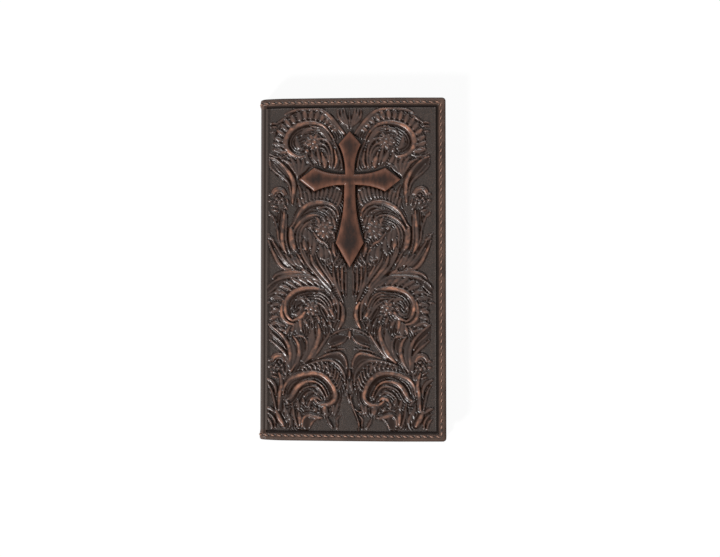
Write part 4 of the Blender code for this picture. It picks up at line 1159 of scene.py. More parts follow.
def tooled_heights(x, y, seed, fields):
    """Height in millimetres, and the burnish, painted shade and ground values, of the tooling at places."""
    side = x / MM - AXIS_X / MM
    true_up = y / MM
    drift = lumps(side, true_up, WANDER_SIZES[0], seed) - 0.5
    drift_up = lumps(side, true_up, WANDER_SIZES[1], seed + 1) - 0.5
    across = np.abs(np.abs(side) + WANDER * drift)
    up = true_up + WANDER * drift_up
    height = sampled(fields["relief"], across, up)
    low = sampled(fields["low"], across, up)
    drawn = sampled(fields["figure"], across, up)
    tone = sampled(fields["burnish"], across, up)
    for path, width in fields["lone"]:
        distance, _ = nearest(path, side, true_up)
        dome = 1 - np.clip(distance / width, 0, 1) ** 2
        cut = np.clip(1 - (distance - width) / CUT_WIDTH, 0, 1) * (distance > width)
        inside = distance < width
        height = np.where(inside, FIGURE_LEVEL + LONE_RISE * np.sqrt(dome), height - LONE_CUT * cut)
        drawn = np.where(inside, 1.0, np.maximum(drawn, cut))
        tone = np.where(inside, LONE_TONE * dome, tone * (1 - CUT_WEAR * cut))
    open_ground = np.clip(1 - drawn * GROUND_SHARPNESS, 0, 1)
    fill = np.clip(1 - np.abs(drawn - FIELD_MARK) * FILL_SHARPNESS, 0, 1)
    rough = lumps(side, up, ROUGH_SIZES[0], ROUGH_SEED)
    rough = rough + ROUGH_SHARE * lumps(side, up, ROUGH_SIZES[1], ROUGH_SEED + 1) - ROUGH_MEAN
    from_band = sampled(fields["band"], across, up)
    echo = np.cos(2 * math.pi * (from_band + ECHO_WANDER * drift) / ECHO_PITCH) * (from_band < ECHO_REACH)
    height = height + FILL_LUMPS * fill * rough + GROUND_PEBBLE * open_ground * rough
    height = height + ECHO_HEIGHT * fill * echo
    # Round the cross: a shallow cut, and painted shadow.
    pressed = sampled(fields["added_painted_shade"], np.abs(side), true_up)
    height = height - CUT_DEPTH * pressed
    # Painted shade: darker where the relief lies below its blurred self, less on open ground, more over
    # filled fields, round the cross and in dished leaves.
    painted_shade = np.clip((low - height) / SHADED_DEPTH, 0, 1) * (1 - GROUND_LIGHT * open_ground)
    painted_shade = np.maximum(painted_shade + FILL_SHADE * fill, PRESSED_SHADE * pressed)
    painted_shade = np.maximum(painted_shade, sampled(fields["dish"], across, up))
    height = np.maximum(height * DEPTH_SCALE, DEEPEST)
    return height, tone, np.clip(painted_shade, 0, 1), open_ground


def make_tooled_panel(name, face, fields, material):
    """A slab of tooled leather that lies in the shell's recess, inside the groove."""
    columns, rows = FRONT_CELLS if face > 0 else BACK_CELLS
    seed = FRONT_SEED if face > 0 else BACK_SEED
    x_line = np.linspace(PANEL_LEFT, PANEL_RIGHT, columns + 1)
    y_line = np.linspace(-PANEL_TOP, PANEL_TOP, rows + 1)
    x, y = np.meshgrid(x_line, y_line)
    height, tone, painted_shade, open_ground = tooled_heights(x, y, seed, fields)
    height = height * MM
    to_edge = np.minimum(np.minimum(PANEL_RIGHT - x, PANEL_TOP - y), PANEL_TOP + y)
    roll = np.clip(1 - to_edge / EDGE_ROLL, 0, 1) ** 2
    height = height * (1 - roll) - roll * EDGE_DROP * MM
    flush = eased(np.clip((x - PANEL_LEFT) / FLUSH_WIDTH, 0, 1))
    height = height * flush
    if face < 0:
        height = np.minimum(height * BACK_SCALE - BACK_DROP * flush, 0)
    upper = np.stack([x, y, TOP + height], -1).reshape(-1, 3)
    base = len(upper)
    number = np.arange(base).reshape(rows + 1, columns + 1)
    rim = grid_rim(number)
    lower = upper[rim].copy()
    lower[:, 2] = TOP + SLAB_FLOOR
    points = np.vstack([upper, lower])
    if face < 0:
        points[:, 2] = TOP - points[:, 2]
    a = number[:-1, :-1].ravel()
    corners = [a, a + 1, a + columns + 1], [a + 1, a + columns + 2, a + columns + 1]
    triangles = np.concatenate([np.stack(corner, -1) for corner in corners])
    ring = base + np.arange(len(rim))
    walls = np.stack([rim, ring, np.roll(ring, -1), np.roll(rim, -1)], -1)
    faces = triangles.tolist() + walls.tolist() + [list(ring)]
    obj = add_mesh(name, settled(points), faces, PANEL_SHARP_DEGREES)
    pad = np.zeros(len(rim))
    add_values(obj, "burnish", np.concatenate([tone.ravel(), pad]))
    # Painted shade on the panel's rolled edge, and full painted shade on its walls in the groove.
    add_values(obj, "painted_shade", np.concatenate([np.maximum(painted_shade, roll * EDGE_SHADE).ravel(), pad + 1]))
    add_values(obj, "ground", np.concatenate([open_ground.ravel(), pad]))
    return finish_piece(obj, material, "tooled_leather")


# The shell: band, groove, turned hem, fold and half of the spine

BORDER = ((5.12, -0.78), (4.8, -0.8), (4.4, -0.74), (4.0, -0.56), (3.7, -0.3), (3.4, -0.06), (3.15, 0.04),
          (2.95, 0.04), (2.75, -0.04), (2.5, -0.1), (2.25, -0.04), (2.05, 0.04), (1.7, 0.08), (1.4, 0.06),
          (1.05, 0.0))
NOSE_STEPS = 10
NOSE_REACH = 1.05
NOSE_POWER = 0.8
CORNER_STEPS = 7
FIRST_RUN = 9.6 * MM
FOLD_GAP = 0.03 * MM
COVER_STEPS = 36
FOLD_STEPS = 22
SPINE_STEPS = 5
UP_STEPS = 65
CREASE_RUN = FLAT_RUN + 1.5 * MM
CREASE_WIDTH = 0.6 * MM
CREASE_DEPTH = 0.3 * MM
CREASE_SHADE = 0.85
WRAP_BULGE = 0.25 * MM
WRAP_RUN = 2 * MM
WRAP_INSET = 5 * MM
GROOVE_OUTER = 3.3 * MM
GROOVE_INNER = 5.6 * MM
GROOVE_RUNOUT = 1.1 * MM
GROOVE_POWER = 0.6
RIM_SHADE = 0.55
RIM_REACH = 1.1 * MM
RIM_FADE = 0.8 * MM
RUBBED_LINE = 3.2 * MM
RUBBED_HALF_WIDTH = 0.2 * MM
RUBBED_LINE_TONE = 0.4
RUBBED_EDGE = 0.9 * MM
RUBBED_EDGE_TONE = 0.15


def border_profile():
    """(inset, lift) across the border, from under the tooled panel over the nose to the hem's inner end."""
    points = ((5.5, SLAB_FLOOR / MM), (5.28, SLAB_FLOOR / MM), *BORDER)
    profile = [(inset * MM, lift * MM) for inset, lift in points]
    for step in range(1, NOSE_STEPS):
        angle = math.pi * step / NOSE_STEPS
        squared = abs(math.sin(angle)) ** NOSE_POWER
        height = math.copysign(abs(math.cos(angle)) ** NOSE_POWER, math.cos(angle))
        profile.append((NOSE_REACH * MM * (1 - squared), -NOSE_RADIUS + NOSE_RADIUS * height))
    profile += [(inset, -HEM_DEPTH) for inset in (1.3 * MM, 4.0 * MM, HEM_WIDTH - 0.3 * MM)]
    profile += [(HEM_WIDTH, -HEM_DEPTH + 0.15 * MM), (HEM_WIDTH + 0.1 * MM, -LEATHER - 0.1 * MM)]
    profile += [(HEM_WIDTH + 0.3 * MM, -LEATHER)]
    return profile


def border_lift(run, inset, lift):
    """Lift of the border beside a cover, whose groove and recess run out at the fold."""
    if run <= FLAT_RUN or inset < GROOVE_OUTER or lift < SLAB_FLOOR:
        return lift
    if lift == SLAB_FLOOR:
        return 0.0
    return lift * (1 - eased(min((run - FLAT_RUN) / GROOVE_RUNOUT, 1)))


def make_shell(name, face, material):
    """One half of the outer leather, up to the middle of the spine."""
    runs = list(np.linspace(FIRST_RUN, FLAT_RUN - FOLD_GAP, COVER_STEPS))
    runs += list(np.linspace(FLAT_RUN + FOLD_GAP, FLAT_RUN + FOLD_RUN, FOLD_STEPS))
    runs += list(np.linspace(FLAT_RUN + FOLD_RUN, END_RUN, SPINE_STEPS)[1:])
    ups = list(np.linspace(HALF_LENGTH - FIRST_RUN, -HALF_LENGTH + FIRST_RUN, UP_STEPS))
    angles = np.linspace(math.pi / 2, math.pi, CORNER_STEPS)
    points = []
    faces = []

    def add_point(run, up, lift, seam_place, inset):
        points.append((run, up, lift, seam_place, inset))
        return len(points) - 1

    def add_corner(side, turns, inset, lift):
        radius = max(CORNER_RADIUS - inset, INNER_CORNER)
        corner = []
        for angle in turns:
            run = inset + radius + radius * math.cos(angle)
            up = HALF_LENGTH - inset - radius + radius * math.sin(angle)
            corner.append(add_point(run, side * up, lift, up, inset))
        return corner

    # The border, from the top of the spine over the fore-edge to its bottom
    loops = []
    for inset, lift in border_profile():
        edge = HALF_LENGTH - inset
        loop = [add_point(run, edge, border_lift(run, inset, lift), run, inset) for run in reversed(runs)]
        loop += add_corner(1, angles, inset, lift)
        loop += [add_point(inset, up, lift, up, inset) for up in ups]
        loop += add_corner(-1, angles[::-1], inset, lift)
        loop += [add_point(run, -edge, border_lift(run, inset, lift), run, inset) for run in runs]
        loops.append(loop)
    for outer, inner in zip(loops[:-1], loops[1:]):
        for first in range(len(outer) - 1):
            faces.append((outer[first], outer[first + 1], inner[first + 1], inner[first]))

    # The fields inside the border, under the tooled panel and on the leather's inner face
    ends = []
    for loop, lift in ((loops[0], SLAB_FLOOR), (loops[-1], -LEATHER)):
        top_row = loop[:len(runs)][::-1]
        bottom_row = loop[-len(runs):]
        corner_one = loop[len(runs):len(runs) + CORNER_STEPS]
        fore = loop[len(runs) + CORNER_STEPS:len(runs) + CORNER_STEPS + len(ups)]
        corner_two = loop[-len(runs) - CORNER_STEPS:-len(runs)]
        inside = []
        for run in runs:
            field_lift = 0.0 if run > FLAT_RUN and lift == SLAB_FLOOR else lift
            inside.append([add_point(run, up, field_lift, 0.0, HEM_WIDTH) for up in ups])
        for i in range(len(runs) - 1):
            faces.append((top_row[i], top_row[i + 1], inside[i + 1][0], inside[i][0]))
            faces.append((bottom_row[i], inside[i][-1], inside[i + 1][-1], bottom_row[i + 1]))
            for k in range(len(ups) - 1):
                faces.append((inside[i][k], inside[i + 1][k], inside[i + 1][k + 1], inside[i][k + 1]))
        for k in range(len(ups) - 1):
            faces.append((fore[k], inside[0][k], inside[0][k + 1], fore[k + 1]))
        faces.append((top_row[0], inside[0][0], fore[0], *reversed(corner_one)))
        faces.append((fore[-1], inside[0][-1], bottom_row[0], *reversed(corner_two)))
        ends.append(inside[-1])
    outer_end, inner_end = ends
    for tip in (0, -1):
        faces.append([loop[tip] for loop in loops] + [inner_end[tip], outer_end[tip]])
    for k in range(len(ups) - 1):
        faces.append((outer_end[k], inner_end[k], inner_end[k + 1], outer_end[k + 1]))

    run, up, lift, along, inset = np.array(points).T
    above_hem = lift > -HEM_DEPTH
    crease = np.exp(-((run - CREASE_RUN) / CREASE_WIDTH) ** 2) * (lift == 0)
    wrapped = np.clip((run - FLAT_RUN) / WRAP_RUN, 0, 1) * np.clip((WRAP_INSET - inset) / WRAP_RUN, 0, 1)
    bent = lift - CREASE_DEPTH * crease + WRAP_BULGE * wrapped * above_hem
    obj = add_mesh(name, folded(run, up, bent, face), faces)
    # Painted shade in the groove, on the rounded outer rim and in the crease by the fold.
    groove = np.clip(-lift / GROOVE_DEPTH, 0, 1) ** GROOVE_POWER
    groove = groove * (inset > GROOVE_OUTER) * (inset < GROOVE_INNER)
    rim = RIM_SHADE * np.clip((RIM_REACH - inset) / RIM_FADE, 0, 1)
    rubbed = (np.abs(inset - RUBBED_LINE) < RUBBED_HALF_WIDTH) * RUBBED_LINE_TONE
    rubbed = rubbed + (inset < RUBBED_EDGE) * above_hem * RUBBED_EDGE_TONE
    add_values(obj, "along", along / MM)
    add_values(obj, "inset", inset / MM)
    add_values(obj, "painted_shade", np.maximum(np.maximum(groove * (lift < 0), rim), CREASE_SHADE * crease))
    add_values(obj, "rubbed", np.clip(rubbed, 0, 1))
    add_values(obj, "plain", (inset > PANEL_INSET) * 1.0)
    return finish_piece(obj, material, "tooled_leather")


def bend_at_fold(obj, face):
    """Bakes a piece's placing into its points, alike for both halves."""
    if face > 0:
        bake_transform(obj)
    else:
        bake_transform(obj)


# Sewing

STITCH_RINGS = 7
THREAD_SIDES = 8
STITCH_GAP = 1.1 * MM
STITCH_RISE = 0.3 * MM
STITCH_SINK = 0.42 * MM
STITCH_SLANT = 0.28 * MM
STITCH_POWER = 0.45
THREAD_END = 0.7
THREAD_SWELL = 0.3
THREAD_FLATNESS = 0.8
THREAD_SHARP_DEGREES = 40


def sewn(spans, thickness, rise, sink):
    """Stitches that dive into the leather at both ends. A span is its start, its way and its ends' levels."""
    points = []
    faces = []
    for a, b, way_a, way_b, first_level, last_level in spans:
        base = len(points)
        for ring in range(STITCH_RINGS):
            t = ring / (STITCH_RINGS - 1)
            arch = math.sin(math.pi * t)
            step = STITCH_GAP / 2 + t * (STITCH_PITCH - STITCH_GAP)
            lift = first_level * (1 - t) + last_level * t - sink + (sink + rise) * arch ** STITCH_POWER
            radius = thickness * (THREAD_END + THREAD_SWELL * arch)
            slant = STITCH_SLANT * (2 * t - 1)
            middle_a = a + way_a * step - way_b * slant
            middle_b = b + way_b * step + way_a * slant
            for side in range(THREAD_SIDES):
                angle = 2 * math.pi * side / THREAD_SIDES
                off = radius * math.cos(angle)
                high = lift + THREAD_FLATNESS * radius * math.sin(angle)
                points.append((middle_a + way_b * off, middle_b + way_a * off, high))
        for ring in range(STITCH_RINGS - 1):
            for side in range(THREAD_SIDES):
                corner = base + ring * THREAD_SIDES + side
                beside = base + ring * THREAD_SIDES + (side + 1) % THREAD_SIDES
                faces.append((corner, beside, beside + THREAD_SIDES, corner + THREAD_SIDES))
        last = base + (STITCH_RINGS - 1) * THREAD_SIDES
        for first in (base, last):
            faces.append(list(range(first, first + THREAD_SIDES)))
    return np.array(points), faces


def make_seam(name, face, material):
    """The border seam on a cover and its half of the spine."""
    spans = []
    run = SEAM_INSET
    while run + STITCH_PITCH < END_RUN:
        lift = WRAP_BULGE * min(max((run - FLAT_RUN) / WRAP_RUN, 0), 1)
        for up in (HALF_LENGTH - SEAM_INSET, -HALF_LENGTH + SEAM_INSET):
            spans.append((run, up, 1, 0, lift, lift))
        run += STITCH_PITCH
    up = -HALF_LENGTH + SEAM_INSET
    while up + STITCH_PITCH < HALF_LENGTH:
        spans.append((SEAM_INSET, up, 0, 1, 0, 0))
        up += STITCH_PITCH
    points, faces = sewn(spans, THREAD_RADIUS, STITCH_RISE, STITCH_SINK)
    obj = add_mesh(name, folded(*points.T, face), faces, THREAD_SHARP_DEGREES)
    return finish_piece(obj, material, "thread")


# The cross

CROSS_HEIGHT = 1.45 * MM
CROSS_SINK = 0.6 * MM
CROSS_BEVEL = 0.9 * MM
CROSS_BEVEL_DROP = 0.46 * MM
CROSS_BEVEL_POWER = 1.15
CROSS_ROUND = 0.16 * MM
CROSS_CROWN = 0.16 * MM
CROSS_CROWN_REACH = 3.4
CROSS_WELD = 0.012 * MM
CROSS_RUB_REACH = 2.6
CROSS_RUB_POWER = 1.4
BROAD_FROM = 1.6
BROAD_SPAN = 3.0


def cross_grids():
    """Grids of points for the arms of the cross and for the field where they meet."""
    grids = {arm: arm_rows(arm) for arm in ARMS}
    ends = list(zip(grids["upper"][0], reversed(grids["lower"][0])))
    middle = []
    for _, y in grids["right"][0]:
        weight = 0.5 - 0.5 * y / CROSSING["upper"]
        middle.append([(top[0] * (1 - weight) + bottom[0] * weight, y) for top, bottom in ends])
    grids["middle"] = middle
    grids["right"][0] = [line[0] for line in middle]
    grids["left"][0] = [line[-1] for line in reversed(middle)]
    return grids


def make_cross(material):
    """A smooth overlay with flared, pointed arms, a bevelled edge and a low crown."""
    flat = []
    faces = []
    for rows in cross_grids().values():
        base = len(flat)
        columns = len(rows[0])
        for row in rows:
            flat += row
        for r in range(len(rows) - 1):
            for c in range(columns - 1):
                a = base + r * columns + c
                faces.append((a, a + 1, a + columns + 1, a + columns))
    flat = np.array(flat)
    count = len(flat)
    distance, _ = nearest(cross_outline(), flat[:, 0], flat[:, 1])
    bevel = 1 - np.clip(distance * MM / CROSS_BEVEL, 0, 1)
    rounded = 1 - np.clip(distance * MM / CROSS_ROUND, 0, 1)
    crown = np.clip(distance / CROSS_CROWN_REACH, 0, 1)
    height = CROSS_HEIGHT - CROSS_CROWN - CROSS_BEVEL_DROP * bevel ** CROSS_BEVEL_POWER
    height -= CROSS_ROUND * (1 - np.sqrt(1 - rounded ** 2))
    height += CROSS_CROWN * np.sin(crown * math.pi / 2)
    upper = np.column_stack([flat * MM, TOP + height])
    lower = np.column_stack([flat * MM, np.full(count, TOP - CROSS_SINK)])
    points = np.vstack([upper, lower]) + (AXIS_X, CROSS_Y, 0)
    under = [tuple(count + i for i in reversed(corners)) for corners in faces]
    mesh = bpy.data.meshes.new("cross")
    mesh.from_pydata([tuple(p) for p in points], [], faces + under)
    bm = bmesh.new()
    bm.from_mesh(mesh)
    rubbed = bm.verts.layers.float.new("rubbed")
    broad = bm.verts.layers.float.new("broad")
    for vertex, near_edge in zip(bm.verts, np.concatenate([distance, distance])):
        vertex[rubbed] = float(np.clip(1 - near_edge / CROSS_RUB_REACH, 0, 1) ** CROSS_RUB_POWER)
        vertex[broad] = float(np.clip((near_edge - BROAD_FROM) / BROAD_SPAN, 0, 1))
    bmesh.ops.remove_doubles(bm, verts=bm.verts, dist=CROSS_WELD)
    bmesh.ops.bridge_loops(bm, edges=[edge for edge in bm.edges if edge.is_boundary])
    bmesh.ops.recalc_face_normals(bm, faces=bm.faces)
    bm.to_mesh(mesh)
    bm.free()
    shade(mesh)
    return finish_piece(new_object("cross", mesh), material, "smooth_leather", "cross_overlay")


# Inside: linings, slip panels, card liners, pockets, ID frame and window

lining_low, lining_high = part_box("front_lining")
liner_low, liner_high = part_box("front_card_liner")
slip_low, slip_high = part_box("front_bill_panel")
pane_low, pane_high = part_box("id_window")
frame_low, frame_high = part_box("id_window_frame")
POCKET_LEATHER = 0.8 * MM
POCKET_DEPTH = TOP - liner_low.z + SEAT
POCKET_REACH = 20 * MM
POCKET_CLIMB = 1.4667 * MM
POCKET_PITCH = 15 * MM
FRONT_MOUTHS = [55 * MM - number * POCKET_PITCH for number in range(6)]
BACK_MOUTHS = [5 * MM - number * POCKET_PITCH for number in range(3)]
MOUTH_CREASE = 1.7 * MM
MOUTH_CREASE_WIDTH = 0.22 * MM
MOUTH_CREASE_END = 1.2 * MM
MOUTH_CREASE_ROWS = np.linspace(-0.5, 0.5, 7) * MM
CREASE_CUT = 0.16 * MM
SHEET_COLUMNS = 30
PANEL_ROWS = 60
SHEET_WAVES = 0.08 * MM
SHEET_WAVE_SIZE = 17.0
SHEET_CALM = 3 * MM
PANE_WAVES = 0.12 * MM
EDGE_SHARES = (0.0, 0.06, 0.22, 0.5, 1.0)
INNER_START = 2.5
EDGE_ROUNDING = 0.8
WAXED_REACH = 0.7 * MM
LINING_WAVES = 0.15 * MM
LINING_WAVE_SIZE = 9.0
LINING_CALM = 4 * MM
LINING_END_CALM = 2 * MM
LINING_STEPS = (60, 14, 8)
LINING_ROWS = 110
LINING_SEED = SEED + 40
LINING_SHARP_DEGREES = 60
INNER_SEAM = 1.9 * MM
INNER_THREAD = 0.24 * MM
INNER_RISE = -0.05 * MM
INNER_SINK = 0.35 * MM
SIGHT_WIDTH = 70 * MM
SIGHT_HEIGHT = 44 * MM
SIGHT_CORNER = 3 * MM
SIGHT_SEAM = 2 * MM
SIGHT_X = (pane_low.x + pane_high.x) / 2
SIGHT_Y = (frame_low.y + frame_high.y) / 2
NOTCH_RADIUS = 9 * MM
NOTCH_DEPTH = 6 * MM
NOTCH_STEPS = 12
FRAME_ROUND = 0.3 * MM
FRAME_WELD = 0.005 * MM


def edge_places(low, high, fine, count):
    """Places from low to high, close together at both ends."""
    near = [share * fine for share in EDGE_SHARES]
    inner = np.linspace(low + INNER_START * fine, high - INNER_START * fine, count)
    return np.array([low + step for step in near] + list(inner) + [high - step for step in reversed(near)])


def at_depth(points, face):
    """Turns a depth below a half's outer face into a height."""
    points = np.array(points, float)
    if face > 0:
        points[..., 2] = TOP - points[..., 2]
    return settled(points)


def make_sheet(name, face, low, high, depths, material, slot, node,
               crease_y=None, row_count=40, waves=SHEET_WAVES):
    """A sheet of leather or cloth with rounded edges: depths gives its outer and inner depth at a height."""
    thickness = depths(low[1])[1] - depths(low[1])[0]
    fine = thickness / 2
    x_line = edge_places(low[0], high[0], fine, SHEET_COLUMNS)
    y_line = edge_places(low[1], high[1], fine, row_count)
    if crease_y is not None:
        y_line = np.sort(np.concatenate([y_line, crease_y + MOUTH_CREASE_ROWS]))
    x, y = np.meshgrid(x_line, y_line)
    edge = np.minimum(np.minimum(x - low[0], high[0] - x), np.minimum(y - low[1], high[1] - y))
    off = 1 - np.clip(edge / fine, 0, 1)
    rounding = EDGE_ROUNDING * fine * (1 - np.sqrt(1 - off ** 2))
    outer, inner = depths(y)
    wave = waves * (lumps(x / MM, y / MM, SHEET_WAVE_SIZE, SEED + len(name)) - 0.5)
    wave = wave * np.clip(edge / SHEET_CALM, 0, 1)
    cut = 0 * x
    if crease_y is not None:
        cut = np.exp(-((y - crease_y) / MOUTH_CREASE_WIDTH) ** 2) * np.clip(edge / MOUTH_CREASE_END, 0, 1)
    seen = np.stack([x, y, inner - rounding + wave - CREASE_CUT * cut], -1)
    hidden = np.stack([x, y, outer + rounding + wave], -1)
    points = at_depth(np.concatenate([seen.reshape(-1, 3), hidden.reshape(-1, 3)]), face)
    obj = add_mesh(name, points, sheet_faces(*x.shape))
    near_edge = np.exp(-edge / WAXED_REACH).ravel()
    add_values(obj, "rubbed", np.concatenate([near_edge, near_edge]))
    # Painted shade along the crease below the mouth.
    add_values(obj, "painted_shade", np.concatenate([cut.ravel(), 0 * near_edge]))
    obj = finish_piece(obj, material, slot, node)
    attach(obj, "front_half" if face > 0 else "back_half")
    return obj


def flat_depths(outer, inner):
    """The depths of a sheet that lies flat."""
    return lambda y: (outer + 0 * y, inner + 0 * y)


def pocket_depths(mouth):
    """The depths of a pocket strip, which climbs over the strip below it to its mouth."""
    tail = mouth - POCKET_REACH

    def depths(y):
        climb = POCKET_DEPTH + POCKET_CLIMB * np.clip((y - tail) / POCKET_REACH, 0, 1)
        return climb, climb + POCKET_LEATHER

    return depths


def inside_depth(face, y):
    """Depth of the surface that shows inside a half, at a height."""
    depth = TOP - liner_low.z
    mouths = FRONT_MOUTHS if face > 0 else BACK_MOUTHS
    for mouth in mouths:
        if y <= mouth and (y >= mouth - POCKET_REACH or mouth in (FRONT_MOUTHS[-1], BACK_MOUTHS[-1])):
            depth = max(depth, float(pocket_depths(mouth)(y)[1]))
    if face < 0 and frame_low.y <= y <= frame_high.y:
        depth = frame_high.z
    return depth


def make_pockets(face, mouths, material):
    """Shingled card pockets, each a strip that is open at its top."""
    half = "front" if face > 0 else "back"
    for number, mouth in enumerate(mouths, 1):
        bottom = liner_low.y if number == len(mouths) else mouth - POCKET_REACH
        make_sheet(f"{half}_pocket_{number}", face, (liner_low.x, bottom), (liner_high.x, mouth),
                   pocket_depths(mouth), material, "inner_leather", f"{half}_card_pocket_{number}",
                   crease_y=mouth - MOUTH_CREASE)


def rounded_rectangle(middle_x, middle_y, width, height, radius, steps=6):
    """Points round a rectangle with rounded corners."""
    points = []
    for quarter, (side_x, side_y) in enumerate(((1, 1), (-1, 1), (-1, -1), (1, -1))):
        centre_x = middle_x + side_x * (width / 2 - radius)
        centre_y = middle_y + side_y * (height / 2 - radius)
        for step in range(steps + 1):
            angle = math.pi / 2 * (quarter + step / steps)
            points.append((centre_x + radius * math.cos(angle), centre_y + radius * math.sin(angle)))
    return points


def frame_outline():
    """Points round the ID frame, with the notch for a thumb in its top edge."""
    outline = [(frame_low.x, frame_high.y), (frame_low.x, frame_low.y), (frame_high.x, frame_low.y)]
    outline.append((frame_high.x, frame_high.y))
    half_angle = math.acos((NOTCH_RADIUS - NOTCH_DEPTH) / NOTCH_RADIUS)
    for step in range(NOTCH_STEPS + 1):
        angle = -math.pi / 2 + half_angle * (1 - 2 * step / NOTCH_STEPS)
        notch_y = frame_high.y + NOTCH_RADIUS - NOTCH_DEPTH
        outline.append((SIGHT_X + NOTCH_RADIUS * math.cos(angle), notch_y + NOTCH_RADIUS * math.sin(angle)))
    return outline


def make_id_frame(material):
    """The leather frame of the ID window, with its sight and a notch for a thumb."""
    curve = bpy.data.curves.new("id_frame", "CURVE")
    curve.dimensions = "2D"
    curve.fill_mode = "BOTH"
    sight = rounded_rectangle(SIGHT_X, SIGHT_Y, SIGHT_WIDTH, SIGHT_HEIGHT, SIGHT_CORNER)
    for ring in (frame_outline(), sight):
        spline = curve.splines.new("POLY")
        spline.points.add(len(ring) - 1)
        spline.use_cyclic_u = True
        for point, (x, y) in zip(spline.points, ring):
            point.co = (x, y, 0, 1)
    curve.bevel_depth = FRAME_ROUND
    curve.bevel_resolution = 3
    curve.offset = -FRAME_ROUND
    curve.extrude = (frame_high.z - frame_low.z) / 2 - FRAME_ROUND
    shape = new_object("id_frame_shape", curve)
    mesh = bpy.data.meshes.new_from_object(shape.evaluated_get(bpy.context.evaluated_depsgraph_get()))
    bpy.data.objects.remove(shape)
    bm = bmesh.new()
    bm.from_mesh(mesh)
    bmesh.ops.remove_doubles(bm, verts=bm.verts, dist=FRAME_WELD)
    bmesh.ops.translate(bm, verts=bm.verts, vec=(0, 0, (frame_high.z + frame_low.z) / 2))
    bmesh.ops.recalc_face_normals(bm, faces=bm.faces)
    bm.to_mesh(mesh)
    bm.free()
    shade(mesh)
    mesh.materials.clear()
    obj = new_object("id_frame", mesh)
    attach(finish_piece(obj, material, "inner_leather", "id_window_frame"), "back_half")


def border_spans(face, highest):
    """The border seam as it shows inside a half, with the pockets' seam by the spine."""
    spans = []
    left = liner_low.x + INNER_SEAM
    right = liner_high.x - INNER_SEAM
    top = liner_high.y - INNER_SEAM
    x = left
    while x + STITCH_PITCH < right:
        for y in (top, -top):
            depth = inside_depth(face, y)
            spans.append((x, y, 1, 0, depth, depth))
        x += STITCH_PITCH
    y = -top
    while y + STITCH_PITCH < top:
        ends = (inside_depth(face, y), inside_depth(face, y + STITCH_PITCH))
        spans.append((right, y, 0, 1, *ends))
        if y + STITCH_PITCH < highest:
            spans.append((left, y, 0, 1, *ends))
        y += STITCH_PITCH
    return spans


def sight_spans():
    """The seam round the sight of the ID frame."""
    spans = []
    wide = SIGHT_WIDTH / 2 + SIGHT_SEAM
    tall = SIGHT_HEIGHT / 2 + SIGHT_SEAM
    ends = (frame_high.z, frame_high.z)
    across_count = int(2 * wide / STITCH_PITCH)
    for number in range(across_count):
        x = SIGHT_X - wide + number * 2 * wide / across_count
        spans += [(x, SIGHT_Y + tall, 1, 0, *ends), (x, SIGHT_Y - tall, 1, 0, *ends)]
    up_count = int(2 * tall / STITCH_PITCH)
    for number in range(up_count):
        y = SIGHT_Y - tall + number * 2 * tall / up_count
        spans += [(SIGHT_X + wide, y, 0, 1, *ends), (SIGHT_X - wide, y, 0, 1, *ends)]
    return spans


def make_inner_seams(material):
    """The seams that show inside the two halves."""
    fronts = border_spans(1, FRONT_MOUTHS[0] - INNER_SEAM)
    backs = border_spans(-1, frame_high.y - INNER_SEAM) + sight_spans()
    for face, half, spans in ((1, "front", fronts), (-1, "back", backs)):
        points, faces = sewn(spans, INNER_THREAD, INNER_RISE, INNER_SINK)
        obj = add_mesh(f"{half}_inner_seam", at_depth(points, face), faces, THREAD_SHARP_DEGREES)
        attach(finish_piece(obj, material, "thread"), f"{half}_half")


def make_lining(face, material):
    """The cloth glued inside a cover, which turns through the fold and ends at the middle of the spine."""
    half = "front" if face > 0 else "back"
    outer = TOP - lining_high.z
    inner = TOP - lining_low.z
    start = FORE_EDGE - lining_high.x
    flat = np.linspace(start, FLAT_RUN, LINING_STEPS[0])
    bend = np.linspace(FLAT_RUN, FLAT_RUN + FOLD_RUN, LINING_STEPS[1])
    end = np.linspace(FLAT_RUN + FOLD_RUN, END_RUN, LINING_STEPS[2])
    ups = np.linspace(lining_low.y, lining_high.y, LINING_ROWS)
    run, up = np.meshgrid(np.concatenate([flat, bend[1:], end[1:]]), ups)
    fade = np.clip(np.minimum(run - start, lining_high.y - np.abs(up)) / LINING_CALM, 0, 1)
    fade *= np.clip((END_RUN - run) / LINING_END_CALM, 0, 1)
    hills = lumps(run / MM, up / MM, LINING_WAVE_SIZE, LINING_SEED + face)
    wave = LINING_WAVES * fade * (hills - 0.5)
    places = [folded(run, up, wave - depth, face).reshape(-1, 3) for depth in (inner, outer)]
    faces = sheet_faces(*run.shape)
    obj = add_mesh(f"{half}_lining_sheet", np.concatenate(places), faces, LINING_SHARP_DEGREES)
    finish_piece(obj, material, "lining_cloth", f"{half}_lining", "spine_lining")
    bend_at_fold(obj, face)


def make_inside(leather, cloth, vinyl, thread_material):
    """Everything inside the covers, from the outside in."""
    for face, half in ((1, "front"), (-1, "back")):
        make_lining(face, cloth)
        depths = flat_depths(TOP - slip_high.z, TOP - slip_low.z)
        make_sheet(f"{half}_slip_panel", face, slip_low, slip_high, depths, leather, "inner_leather",
                   f"{half}_bill_panel", row_count=PANEL_ROWS)
        depths = flat_depths(TOP - liner_high.z, TOP - liner_low.z)
        make_sheet(f"{half}_liner", face, liner_low, liner_high, depths, leather, "inner_leather",
                   f"{half}_card_liner", row_count=PANEL_ROWS)
    make_pockets(1, FRONT_MOUTHS, leather)
    make_pockets(-1, BACK_MOUTHS, leather)
    make_sheet("id_pane", -1, pane_low, pane_high, flat_depths(pane_low.z, pane_high.z), vinyl, "clear_vinyl",
               "id_window", waves=PANE_WAVES)
    make_id_frame(leather)
    make_inner_seams(thread_material)


# Stage, light and camera

